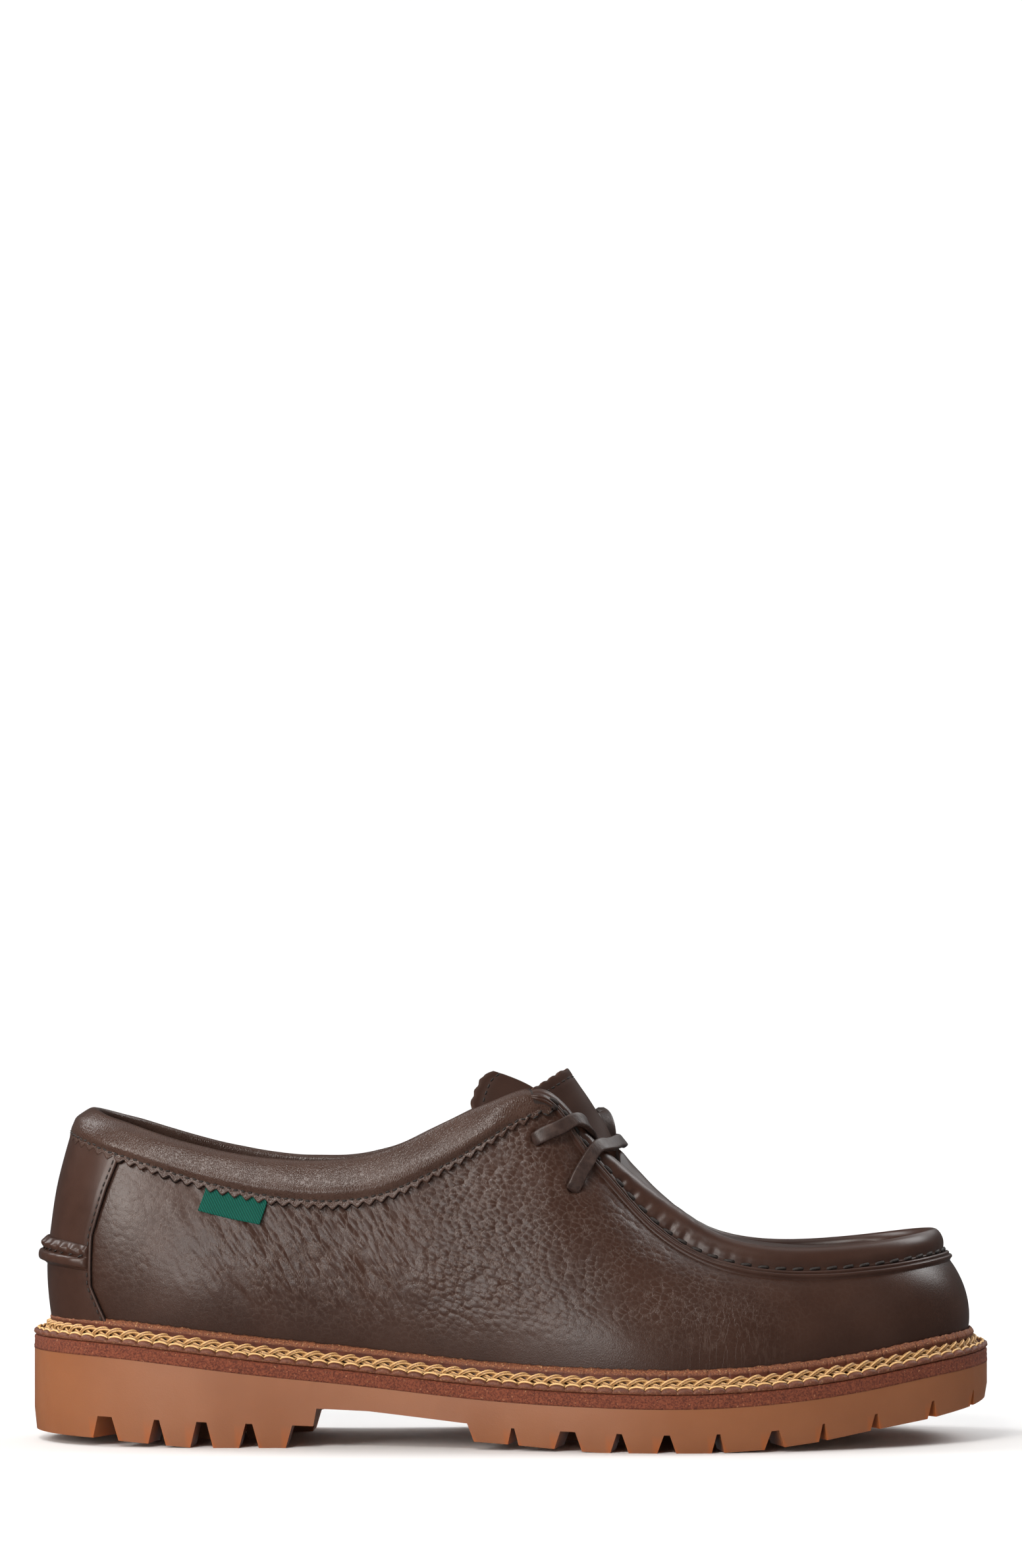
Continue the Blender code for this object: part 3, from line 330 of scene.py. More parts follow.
def add_sheet(name, sheet, finishes, slot, nodes, thick, even=True, merge=0.0):
    """Grid with leather of this thickness behind it. The finishes are those of its face, its back and its
    cut edge; the last one serves for those that are not given. A sheet whose rows run together is not
    evened out, because the correction grows without limit there."""
    faces = grid_faces(*sheet.shape[:2])
    piece = add_piece(name, sheet, faces, finishes, slot, nodes, closed=False, merge=merge)
    solid = piece.modifiers.new("leather", "SOLIDIFY")
    solid.thickness, solid.offset, solid.use_even_offset = thick * MM, -1, even
    solid.material_offset, solid.material_offset_rim = min(1, len(finishes) - 1), len(finishes) - 1
    return piece


def closed_curves(cage, samples):
    """Smooth closed curve through each row of points, sampled at even steps of their number."""
    count = cage.shape[1]
    at = np.linspace(0, count, samples, endpoint=False)
    curves = spline(range(count), cage.transpose(1, 0, 2).reshape(count, -1), at, period=count)
    return curves.reshape(samples, len(cage), 3).transpose(1, 0, 2)


def chance(cells, seed):
    """A number from 0 to 1 for each whole-number cell: the digits of a sine that are far too fine to
    follow."""
    mixed = np.sin(cells @ np.array([127.1, 311.7]) + seed * 17.3) * 43758.5453
    return mixed - np.floor(mixed)


def noise(seed, *places):
    """Smooth chance from -1 to 1: random numbers at whole places, blended across each cell by eased
    weights."""
    points = np.stack(np.broadcast_arrays(*places), axis=-1)
    base = np.floor(points)
    part = points - base
    part = part * part * (3 - 2 * part)
    total = 0.0
    for corner in np.ndindex(*(2,) * points.shape[-1]):
        corner = np.array(corner)
        total = total + chance(base + corner, seed) * np.prod(np.where(corner, part, 1 - part), axis=-1)
    return 2 * total - 1


def ramp(x, low, high):
    """0 below low, 1 above high, eased in between."""
    t = np.clip((x - low) / (high - low), 0, 1)
    return t * t * (3 - 2 * t)


def bell(x, middle, wide):
    """1 at the middle, fading to 0 on both sides."""
    return np.exp(-((x - middle) / wide)**2)


def normals_of(points):
    """Normals of a grid of points, square to its two directions."""
    return unit(np.cross(np.gradient(points, axis=0), np.gradient(points, axis=1)))


def even_places(line, pitch):
    """Places spaced evenly along a line of points, as fractional point numbers."""
    reach = reach_along(line)
    count = int(reach[-1] / pitch)
    return np.interp((np.arange(count) + 0.5) * reach[-1] / count, reach, np.arange(len(line)))


def at_place(rows, place):
    """Rows of an array at fractional numbers."""
    return blend_rows(place, np.arange(len(rows)), rows)


def turns(count):
    """Angles spaced evenly round a circle."""
    return np.linspace(0, 2 * np.pi, count, endpoint=False)


def nearest(values, target):
    """Number of the value that is nearest to the target."""
    return int(np.argmin(np.abs(values - target)))


# %% [markdown]
# Finishes are made of shader nodes. Written node by node they are long, so one small class wraps a socket:
# sums and products of sockets add the Math nodes, and any other node comes from one method that takes its
# type, its settings and its inputs. All patterns read the Object coordinate in millimetres, so they stay
# put on the shoe.

# %% A socket that can be reckoned with
class Shade:
    """One output of a node. Arithmetic on it adds Math nodes to the same tree."""

    def __init__(self, tree, socket=None):
        self.tree, self.socket = tree, socket

    def node(self, kind, settings=None, inputs=None, output=0):
        """Adds a node, sets its settings, then its inputs to values or links, and gives one of its
        outputs."""
        made = self.tree.nodes.new(kind)
        for key, value in (settings or {}).items():
            if key == "stops":
                ramp_stops = made.color_ramp.elements
                while len(ramp_stops) < len(value):
                    ramp_stops.new(0.5)
                for stop, (place, colour) in zip(ramp_stops, value):
                    stop.position, stop.color = place, (*colour, 1)
            else:
                setattr(made, key, value)
        for key, value in (inputs or {}).items():
            if isinstance(value, Shade):
                self.tree.links.new(value.socket, made.inputs[key])
            else:
                made.inputs[key].default_value = value
        return Shade(self.tree, made.outputs[output])

    def math(self, operation, *values):
        """Adds a Math node that works on these values or sockets."""
        return self.node("ShaderNodeMath", {"operation": operation}, dict(enumerate(values)))

    def __add__(self, other):
        return self.math("ADD", self, other)

    __radd__ = __add__

    def __sub__(self, other):
        return self.math("SUBTRACT", self, other)

    def __rsub__(self, other):
        return self.math("SUBTRACT", other, self)

    def __mul__(self, other):
        return self.math("MULTIPLY", self, other)

    __rmul__ = __mul__

    def __abs__(self):
        return self.math("ABSOLUTE", self)

    def within(self, low, high):
        """0 below low, 1 above high, eased in between."""
        return self.node("ShaderNodeMapRange", {"interpolation_type": "SMOOTHSTEP"},
                         {"Value": self, "From Min": low, "From Max": high})

    def blend(self, first, second):
        """Colour that goes from the first at 0 to the second at 1."""
        return self.node("ShaderNodeMix", {"data_type": "RGBA"},
                         {0: self, 6: colour_of(first), 7: colour_of(second)}, 2)


def colour_of(value):
    """A socket as it is, or a colour with its alpha."""
    return value if isinstance(value, Shade) else (*value, 1)


class Finish(Shade):
    """A new material: its patterns are asked for in millimetres, and the shader is set up at the end."""

    def __init__(self, name):
        self.material = bpy.data.materials.new(name)
        self.material.use_nodes = True
        super().__init__(self.material.node_tree)
        self.shader = self.tree.nodes["Principled BSDF"]

    def place(self, stretch=(1, 1, 1), turn=(0, 0, 0), wobble=0.0, wobble_size=3.0):
        """Object coordinate in millimetres on turned and stretched axes, shaken by a wobble of so many of
        them."""
        spot = self.node("ShaderNodeTexCoord", output="Object")
        spot = self.node("ShaderNodeMapping", {"vector_type": "TEXTURE"}, {
            "Vector": spot, "Scale": tuple(MM * s for s in stretch), "Rotation": tuple(np.radians(turn))})
        if not wobble:
            return spot
        shake = self.node("ShaderNodeTexNoise", output="Color", inputs={
            "Vector": spot, "Scale": 1 / wobble_size, "Detail": 2.0})
        return self.node("ShaderNodeVectorMath", {"operation": "MULTIPLY_ADD"},
                         {0: shake, 1: (wobble,) * 3, 2: spot})

    def mottle(self, size, detail=3.0, rough=0.55, where=None):
        """Cloudy noise from 0 to 1 whose largest spots are of this size."""
        return self.node("ShaderNodeTexNoise", inputs={
            "Vector": where or self.place(), "Scale": 1 / size, "Detail": detail, "Roughness": rough})

    def cells(self, size, feature="DISTANCE_TO_EDGE", where=None):
        """Cells of this size round scattered points: distance from their borders, or with F1 from their
        middles."""
        return self.node("ShaderNodeTexVoronoi", {"feature": feature},
                         {"Vector": where or self.place(), "Scale": 1 / size})

    def share(self, name):
        """The number that a piece carries at its points under this name."""
        return self.node("ShaderNodeAttribute", {"attribute_name": name}, output="Fac")

    def done(self, colour, rough, relief=None, deep=0.3, gloss=0.5, **fixed):
        """Links colour, roughness and a relief of this depth in millimetres, and sets what is the same all
        over."""
        inputs = {"Base Color": colour_of(colour), "Roughness": rough, "Specular IOR Level": gloss}
        if relief:
            inputs["Normal"] = self.node("ShaderNodeBump", inputs={
                "Height": relief, "Distance": deep * MM, "Strength": 1.0})
        for key, value in {**inputs, **fixed}.items():
            if isinstance(value, Shade):
                self.tree.links.new(value.socket, self.shader.inputs[key])
            else:
                self.shader.inputs[key].default_value = value
        print("finish:", self.material.name)
        return self.material


# %% [markdown]
# The upper is full-grain leather that was tumbled until it pebbled: rounded cells about two millimetres
# across, a little longer along a slant, with fine furrows between them. Their paler colour is partly wear
# and partly a painted sheen that stands for the glints on their edges. The cells are weaker at the heel and
# fade to smooth leather at the toe and the lower edge. A Voronoi texture fits: the distance from a cell's
# middle makes the domes, and the distance from its border the furrows. Below the label the cells are drawn
# out along the slant in which the leather was pulled. How strong all this is comes from numbers that the
# wall carries at its points, so that it can fade where it should.

# %% Leather finishes
BROWN, WORN_BROWN = (0.0325, 0.0135, 0.0083), (0.0425, 0.0186, 0.0118)
# Furrows and creases are blended to the pale colour below: partly wear, partly a painted sheen for their
# glints.
PALE_WEAR_AND_SHEEN, FLESH, CUT_EDGE = (0.110, 0.074, 0.060), (0.100, 0.042, 0.024), (0.024, 0.0125, 0.009)
PEBBLE_SIZE, PULLED_SIZE, PORE_SIZE = 1.7, 1.5, 0.62


def tumbled_leather():
    """Domes that fall off with the square of the distance from each cell's middle, feathered furrows along
    the cell borders painted pale, partly as wear and partly as a painted sheen, fine pores where there are no
    pebbles, and cracks along the zero line of a noise, painted pale as a painted glint."""
    finish = Finish("tumbled_leather")
    grain, drag, crack = (finish.share(name) for name in ("grain", "drag", "crack"))
    upright = finish.place((1.35, 1.0, 1.0), (0, 24, 0), wobble=0.5, wobble_size=1.2)
    pulled = finish.place((2.8, 1.0, 1.0), (0, 58, 0), wobble=0.5, wobble_size=1.2)
    far, edge = (
        finish.cells(PEBBLE_SIZE, kind, upright) * (1 - drag)
        + finish.cells(PULLED_SIZE, kind, pulled) * drag
        for kind in ("F1", "DISTANCE_TO_EDGE"))
    some = finish.mottle(7.0, 2.0).within(0.32, 0.62) * 0.5 + 0.5
    feather = finish.mottle(0.7, 2.0, where=finish.place((1.0, 1.0, 2.4), (0, 12, 0))) - 0.5
    feather = 1 - abs(feather).within(0.0, 0.10)
    line = (1 - edge.within(0.01, 0.20)) * some * grain
    pores = finish.place((1.0, 1.0, 1.3), wobble=0.3, wobble_size=0.7)
    pores = finish.cells(PORE_SIZE, where=pores).within(0.0, 0.35)
    split = finish.mottle(2.3, 2.0, where=finish.place((1.0, 1.0, 6.0), wobble=0.8, wobble_size=2.0)) - 0.5
    split = (1 - abs(split).within(0.0, 0.030)) * crack
    colour = finish.mottle(24.0, 2.0).within(0.3, 0.7).blend(BROWN, WORN_BROWN)
    # Paler along the furrows, most on the feathered hairlines: partly wear, partly a painted sheen for the
    # glints on the cell edges.
    colour = (line * (feather * 0.36 + 0.20)).blend(colour, PALE_WEAR_AND_SHEEN)
    # The cracks are painted pale: a painted glint on their edges.
    colour = (split * 0.30).blend(colour, PALE_WEAR_AND_SHEEN)
    domes = (1 - far * far * 1.5) * grain * grain * some * (1 - drag * 0.2)
    relief = domes + feather * line * 0.15 + pores * (0.055 - grain * 0.035) - split * 0.1
    rough = 0.33 + (finish.mottle(8.0) - 0.5) * 0.08
    return finish.done(colour, rough, relief, deep=0.27, gloss=0.38)


def smooth_leather(name, base, worn, creases=1.0, rough=0.31, gloss=0.38, deep=0.02):
    """Finer leather: shallow upright creases along cell borders and pores, with a little wear in its
    colour. The creases are painted pale, partly as wear and partly as a painted sheen."""
    finish = Finish(name)
    upright = finish.place((1.0, 1.0, 1.7), wobble=0.4, wobble_size=0.9)
    cell = finish.cells(PORE_SIZE, where=upright).within(0.0, 0.34)
    pores = finish.mottle(0.32, 2.0)
    colour = finish.mottle(14.0, 3.0).within(0.3, 0.72).blend(base, worn)
    # Pale creases: partly wear, partly a painted sheen for their glints; the cuff's strong creases show it
    # most.
    colour = ((1 - cell) * (0.12 * creases)).blend(colour, PALE_WEAR_AND_SHEEN)
    shine = rough + (finish.mottle(7.0) - 0.5) * 0.1
    return finish.done(colour, shine, cell * (0.7 * creases) + pores * 0.2, deep, gloss)


def raw_leather(name, base, light, dark, fibre=0.5, deep=0.25):
    """Cut edge or flesh side: fibres that stand up, light specks and dark pits."""
    finish = Finish(name)
    fuzz = finish.mottle(fibre, 4.0, 0.7)
    specks = finish.mottle(fibre * 1.6, 2.0, where=finish.place((1, 1, 1), (20, 35, 10)))
    colour = fuzz.within(0.35, 0.65).blend(dark, base)
    colour = specks.within(0.64, 0.80).blend(colour, light)
    return finish.done(colour, 0.72 + (fuzz - 0.5) * 0.25, fuzz, deep, gloss=0.25)


def thread(name, base, light):
    """Twisted thread: fine slanting plies, painted lighter where they stand up as a painted highlight."""
    finish = Finish(name)
    twist = finish.mottle(0.5, 2.0, where=finish.place((1.0, 1.0, 0.4), (0, 40, 25)))
    # Lighter on the raised plies: painted highlight.
    return finish.done(twist.within(0.35, 0.65).blend(base, light), 0.62, twist, deep=0.12)


UPPER_LEATHER = tumbled_leather()
STRIP_LEATHER = smooth_leather(
    "strip_leather", (0.0330, 0.0134, 0.0083), (0.0430, 0.0184, 0.0117), creases=0.25, rough=0.34)
CUFF_LEATHER = smooth_leather(
    "cuff_leather", (0.0360, 0.0158, 0.0101), (0.0470, 0.0222, 0.0147), creases=1.6, rough=0.29, deep=0.035)
# The lining's dark tone is partly painted shade for the shaded inside of the shoe.
LINING_LEATHER = smooth_leather(
    "lining_leather", (0.0150, 0.0072, 0.0050), (0.0210, 0.0105, 0.0075), creases=0.5, rough=0.55)
EDGE_LEATHER = raw_leather(
    "cut_leather_edge", CUT_EDGE, (0.045, 0.026, 0.018), (0.012, 0.007, 0.006), fibre=0.4, deep=0.1)
FLESH_LEATHER = raw_leather(
    "flesh_side", FLESH, (0.11, 0.055, 0.035), (0.035, 0.016, 0.011), fibre=0.6, deep=0.12)
TONGUE_LEATHER = smooth_leather(
    "tongue_leather", (0.0350, 0.0152, 0.0100), (0.0450, 0.0205, 0.0138), creases=0.2, rough=0.5, gloss=0.12)
DARK_THREAD = thread("dark_thread", (0.010, 0.0065, 0.0055), (0.028, 0.018, 0.014))
BACK_AND_EDGE = [LINING_LEATHER, EDGE_LEATHER]

# %% [markdown]
# The wall is one band of leather round the foot, with its lining. A subdivided cage could be sculpted, but
# the surface of w and v is already known, so a fine grid of it is bent by relief in millimetres: slow
# swells, slanting drag lines below the label and a dent at each lace hole. The grid turns over at the top
# edge and comes down again as the lining, so it is one closed shell.

# %% The wall of the upper
WALL_COLUMNS, WALL_ROWS, LINING_ROWS = 1010, 84, 12
WALL_THICK = 2.0
LACE_HOLES = ((0.5125, 95.2), (0.5502, 80.3))
HOLE_WIDE, HOLE_DEEP, HOLE_LIP = 1.9, 1.4, 0.18


def grain_share(points):
    """How strongly the leather is pebbled: full over the middle of the quarter, weak at heel, toe and
    foot."""
    x, z = points[..., 0], points[..., 2]
    along = (0.45 + 0.55 * ramp(x, -115, -70)) * (1 - 0.35 * ramp(x, -8, 32)) * (1 - 0.85 * ramp(x, 56, 98))
    rise = ramp(z - seat(x), 6, 26)
    return np.clip(0.06 + 0.94 * along * rise, 0, 1)


def drag_share(points):
    """Where the leather was pulled to slanting lines: below the label, from the heel to the middle."""
    x, z = points[..., 0], points[..., 2]
    return ramp(x, -112, -88) * (1 - ramp(x, -42, -18)) * ramp(z - seat(x), 10, 26)


def wall_relief(points, along, climb):
    """Height of slanting drag lines and slow swells on the wall."""
    x, z = points[..., 0], points[..., 2]
    shake, sway = (0.22 * noise(seed, along / 3.0, climb / 3.0) for seed in (1, 2))
    drag = noise(5, (0.85 * x + 0.53 * z) / 1.9 + shake, (0.53 * x - 0.85 * z) / 12.0 + sway)
    swell = noise(11, along / 17.0, climb / 14.0)
    soft = noise(13, along / 5.5, climb / 6.5)
    share = grain_share(points)
    return 0.26 * drag_share(points) * drag + 0.16 * swell * (0.3 + 0.7 * share) + 0.07 * soft * share


def crack_share(points):
    """Where the leather over the ball of the foot is cracked by bending."""
    return bell(points[..., 0], 66, 17) * bell(points[..., 2], 36, 13)


def make_wall():
    """The wall moved along its normals by the relief, then turned over at the top and brought down as the
    lining."""
    w = all_round(WALL_COLUMNS)
    v, v_in = (np.tile(np.linspace(*ends), (len(w), 1)) for ends in ((0, 1, WALL_ROWS), (1, 0, LINING_ROWS)))
    skin = wall(w, v)
    lift = wall_relief(skin, (w * HALF_ROUND)[:, None], reach_along(skin))
    for s, z in LACE_HOLES:
        for hole in (s, 2 - s):
            away = np.linalg.norm(skin - spot_at(hole, z)[0], axis=-1)
            lift -= HOLE_DEEP * (1 - ramp(away, HOLE_WIDE * 0.7, HOLE_WIDE * 1.3))
            lift += HOLE_LIP * bell(away, HOLE_WIDE * 2.0, 1.3)
    outer = skin + wall_normal(w, v) * lift[..., None]
    inner = wall(w, v_in) - wall_normal(w, v_in) * WALL_THICK
    shell = np.concatenate([outer, inner], axis=1)
    shares = {"grain": grain_share, "drag": drag_share, "crack": crack_share}
    marks = {key: np.pad(share(skin), ((0, 0), (0, LINING_ROWS))) for key, share in shares.items()}
    piece = add_piece("upper_wall", shell, grid_faces(*shell.shape[:2], True, True),
                      [UPPER_LEATHER, LINING_LEATHER], "upper", ["upper"], **marks)
    lining = np.tile(np.arange(shell.shape[1]) >= WALL_ROWS - 1, len(w))
    piece.data.polygons.foreach_set("material_index", lining.astype(np.int32))


make_wall()

# %% [markdown]
# The moc seam is where the band and the plug are sewn edge to edge. Below the thread the band's edge is
# turned out as a flange with a fold line; above it the two edges stand up together as a rounded rim. It is
# a profile carried along the top edge: a closed section of flange, groove and rim, whose points are known
# at every w and are joined by a smooth periodic curve. Each stitch pulls the leather in, so the rim is
# puckered in step with the thread.

# %% The raised moc seam
RIM_START, RIM_COLUMNS, RIM_SAMPLES, RIM_NOSE = 0.503, 820, 56, 3.5
FULL_RIM, EDGE_RIM, EDGE_DEPTH, OVER_CUFF = 5.2, 1.2, 0.45, 1.0
FLANGE_SECTION = (
    (4.1, -0.9), (3.35, 0.15), (2.95, 1.15), (2.2, 1.45), (1.78, 0.95), (1.4, 1.3), (0.6, 1.2), (0.12, 0.1),
)
RIM_SECTION = (
    (0.04, -0.5), (0.12, -0.35), (0.3, -0.75), (0.55, -0.85), (0.84, -0.1), (1.0, 1.6), (0.88, 3.4),
    (0.62, 4.3), (0.3, 4.2), (0.02, 2.6), (-0.1, 1.0),
)
STITCH_PITCH = 5.4


def rim_axes(w, step=1e-3):
    """Directions at the top edge: up the rim and inwards across it, turned by the rim's lean."""
    along = unit(wall_frame(w + step)[3] - wall_frame(w - step)[3])
    upright = unit(UP - along * (along @ UP)[:, None])
    inward = np.cross(upright, along)
    lean = np.radians(wall_table(w)[:, RIM_LEAN, None])
    return np.cos(lean) * upright + np.sin(lean) * inward, np.cos(lean) * inward - np.sin(lean) * upright


def rim_tall(w):
    """Height of the rim: that of the solids, and a little more beside the throat where the plug is drawn
    down."""
    return wall_table(w)[:, RIM_TALL] * (1 + 0.26 * bell(side_of(w), 0.622, 0.042))


def rim_share(w):
    """0 along the plain top line of the quarters, 1 where the rim stands full."""
    return np.clip((wall_table(w)[:, RIM_TALL, None] - EDGE_RIM) / (FULL_RIM - EDGE_RIM), 0, 1)


def rim_wide(w):
    """How wide the rim is, as a share of its full width."""
    return EDGE_DEPTH + (1 - EDGE_DEPTH) * rim_share(w)


def front_places():
    """w from one side of the throat round the toe to the other, at even distances along the top edge."""
    fine = np.linspace(RIM_START, 2 - RIM_START, 4001)
    reach = reach_along(wall_frame(fine)[3])
    even = np.linspace(0, reach[-1], RIM_COLUMNS)
    return np.interp(even, reach, fine), even


def pucker(reach, s):
    """Pull of the thread from 0 to 1 along the seam, different at each stitch and strongest beside the
    throat."""
    near = np.abs(np.mod(reach / STITCH_PITCH, 1.0) - 0.5) * 2
    hold = chance(np.stack([np.floor(reach / STITCH_PITCH), 0 * reach], axis=-1), 23)
    return (1 - ramp(near, 0.0, 0.75)) * (0.35 + 0.65 * hold) * (0.10 + 0.90 * bell(s, 0.615, 0.060))


def make_rim():
    """Flange points on the wall and rim points on the axes of the top edge, joined to one closed smooth
    section."""
    w, reach = front_places()
    s, share = side_of(w), rim_share(w)
    pull = pucker(reach, s)[:, None]
    over_cuff = OVER_CUFF * (1 - ramp(s, 0.514, 0.532))[:, None]
    below, proud = np.array(FLANGE_SECTION).T
    v = v_below_top(w, below * (0.62 + 0.38 * ramp(s, 0.510, 0.560))[:, None])
    tremble = 1 + 0.10 * noise(21, reach / 6.0, 0)[:, None]
    proud = proud * (0.30 + 0.70 * share * tremble) - 0.15 * pull * (below < 1.5) + over_cuff
    flange = wall(w, v) + wall_normal(w, v) * proud[..., None]
    up, across = (axis[:, None] for axis in rim_axes(w))
    height, depth = np.array(RIM_SECTION).T
    deep = depth * np.where(depth > 0, rim_wide(w), share)
    deep = deep + (0.75 * pull * bell(height, 0.25, 0.18) - 0.5 * over_cuff) * (depth < 0)
    rise = (rim_tall(w)[:, None] + 0.3 * over_cuff) * height - 0.12 * pull * bell(height, 0.95, 0.3)
    rim = wall_frame(w)[3][:, None] + up * rise[..., None] + across * deep[..., None]
    cage = np.concatenate([flange, rim], axis=1)
    middle = cage.mean(axis=1, keepdims=True)
    nose = np.sqrt(1 - (1 - np.clip(np.minimum(reach, reach[-1] - reach) / RIM_NOSE, 0, 1))**2)
    cage = middle + (cage - middle) * np.maximum(nose, 0.02)[:, None, None]
    rings = closed_curves(cage, RIM_SAMPLES)
    add_piece("moc_seam_rim", rings, tube_faces(*rings.shape[:2]), [STRIP_LEATHER], "upper")
    return w, reach


RIM_W, RIM_REACH = make_rim()

# %% [markdown]
# Sewing shows as rows of short thread: each stitch rises out of its hole, lies on the leather and dives
# again. A row of them is one array of small tubes, seven rings of six points each, set on evenly spaced
# places of a line.

# %% Rows of stitches
STITCH_RINGS, STITCH_SIDES, STITCH_ARCH, STITCH_SINK = 7, 6, 0.8, 0.55
SEAM_THREAD_START = 0.512


def stitch_row(name, middles, ways, ups, long, thick, slot):
    """Many small tubes: at t from -1 to 1 a ring of thread that is lifted most in the middle and thin at
    its ends."""
    t = np.linspace(-1, 1, STITCH_RINGS)
    turn = turns(STITCH_SIDES)[:, None]
    ways = unit(ways)
    sides = unit(np.cross(ways, ups))
    ups = np.cross(sides, ways)
    radius = thick / 2 * np.sqrt(np.clip(1.06 - t**6, 0.1, 1))
    lift = thick * (STITCH_ARCH * (1 - t**4) - STITCH_SINK)
    axis = middles[:, None] + ways[:, None] * (long / 2 * t)[:, None] + ups[:, None] * lift[:, None]
    ring = sides[:, None, None] * np.cos(turn) + ups[:, None, None] * np.sin(turn)
    points = axis[:, :, None] + ring * radius[:, None, None]
    add_piece(name, points, tube_faces(STITCH_RINGS, STITCH_SIDES, len(middles)), [DARK_THREAD], slot)


def sew(name, lines, pitch, long, thick, slot):
    """Stitches spaced evenly on lines, each given as its points and the normals there."""
    rows = []
    for line, ups in lines:
        place = even_places(line, pitch)
        rows.append([at_place(row, place) for row in (line, np.gradient(line, axis=0), ups)])
    stitch_row(name, *(np.concatenate(part) for part in zip(*rows)), long, thick, slot)


def sew_moc_seam():
    """One long stitch in the middle of each pucker, on the outer side of the rim's foot."""
    places = np.interp((np.arange(int(RIM_REACH[-1] / STITCH_PITCH)) + 0.5) * STITCH_PITCH, RIM_REACH, RIM_W)
    places = places[side_of(places) > SEAM_THREAD_START]
    up, across = rim_axes(places)
    way = wall_frame(places + 0.004)[3] - wall_frame(places - 0.004)[3]
    middle = wall_frame(places)[3] + up * (0.10 * rim_tall(places)[:, None]) - across * 0.25
    stitch_row("moc_seam_thread", middle, unit(way) + up * 0.10, up * 0.3 - across,
               long=4.3, thick=1.15, slot="upper")


sew_moc_seam()

# %% [markdown]
# The plug is the panel over the toes. It hangs inside the rim and rises to a crown that climbs towards the
# throat. A patch of Bezier surface would do, but the rim already gives its border, so each w gives a line
# from the rim to the crown, eased so that the panel climbs away from the rim and meets its other half flat
# along the middle.

# %% The plug
PLUG_THROAT, PLUG_COLUMNS, PLUG_ROWS = 0.592, 420, 30
PLUG_BACK_X, PLUG_FRONT_X, PLUG_THICK, PLUG_WELD = 33.4, 112.0, 2.0, 0.002
PLUG_LINE = (
    (33, 92.0), (35.2, 90.2), (37, 87.8), (39, 85.4), (42.5, 81.1), (46.6, 76.7), (53.8, 69.5), (60.5, 65.6),
    (67, 63.4), (77, 61.5), (87, 60.6), (100, 60.9), (112, 62.2),
)


def make_plug():
    """Lines from the rim to the crown that are straight in plan; their height is eased, with a ripple
    beside the rim that keeps step with the stitches. The columns of both halves mirror each other, so they
    weld along the middle."""
    half = np.linspace(PLUG_THROAT, 1, PLUG_COLUMNS // 2)
    w, s = np.concatenate([half, 2 - half[-2::-1]]), np.concatenate([half, half[-2::-1]])
    edge = wall_frame(w)[3]
    up, across = rim_axes(w)
    border = edge + up * wall_table(w)[:, RIM_TALL, None] * 0.50 + across * rim_wide(w) * 3.6
    x = PLUG_BACK_X + (PLUG_FRONT_X - PLUG_BACK_X) * np.clip((s - PLUG_THROAT) / (1 - PLUG_THROAT), 0, 1)
    crown = np.stack([x, centre_y(s), flowing(PLUG_LINE, x)], axis=1)
    rows = np.linspace(0, 1, PLUG_ROWS)
    ease = 0.4 * rows * rows * (3 - 2 * rows) + 0.6 * rows * (2 - rows)
    sheet = border[:, None] * (1 - rows)[:, None] + crown[:, None] * rows[:, None]
    climb = ((crown - border) @ UP)[:, None] * (ease - rows)
    wave = np.sin(2 * np.pi * reach_along(edge) / STITCH_PITCH)[:, None]
    ripple = 0.22 * wave * np.exp(-rows * 9) * (rows > 0)
    swell = 0.2 * noise(31, sheet[..., 0] / 12, sheet[..., 1] / 12) * np.sin(np.pi * rows)
    sheet = sheet + (climb + ripple + swell)[..., None] * UP
    add_sheet("plug", sheet, [STRIP_LEATHER, *BACK_AND_EDGE],
              "upper", (), PLUG_THICK, even=False, merge=PLUG_WELD)


make_plug()

# %% [markdown]
# The cuff is a soft collar: a strip of thinner leather over padding, folded over the top line, with its
# lower edge cut to a zigzag and sewn down a little above the teeth. Its section is a smooth curve up the
# outside, over the fold and down inside, and the strip is cut away along a slope where the moc seam starts.
# The teeth only move the lowest rows. The padding's swell is in the section's numbers, not simulated.

# %% The padded cuff
CUFF_END, CUFF_COLUMNS, CUFF_ROWS, CUFF_DENSE = 0.527, 780, 50, 160
CUFF_THICK, CUFF_CLEAR = 1.25, 0.35
TOOTH_PITCH, TOOTH_DEEP, TOOTH_FADE = 3.85, 1.7, 2.6
CUFF_STITCH_UP, CUFF_STITCH_PITCH = 1.8, 2.3
CUFF_PUFF = (
    (1.0, 0.15), (0.90, 0.05), (0.82, 0.0), (0.75, 0.7), (0.66, 1.4), (0.52, 1.4), (0.34, 0.95), (0.16, 0.4),
    (0.0, -0.2),
)
CUFF_FOLD, CUFF_LEAN = ((1.3, -0.6), (2.4, 0.3), (2.5, 1.8), (1.3, 3.1)), np.array([1.0, 1.3, 1.5, 1.2])
CUFF_INSIDE = ((2.5, 1.6), (5.5, 1.6), (10.0, 1.25))
COLLAR_DEPTH = (
    (0.0, 6.4), (0.05, 7.8), (0.1, 9.8), (0.155, 10.4), (0.24, 11.2), (0.32, 12.0), (0.375, 12.4),
    (0.42, 12.3), (0.445, 12.0), (0.47, 11.0), (0.5, 9.0), (0.527, 3.6),
)


def cuff_depth(w):
    """How far the cuff reaches down the outside, to the middle of its teeth."""
    return straight(COLLAR_DEPTH, np.abs(w))


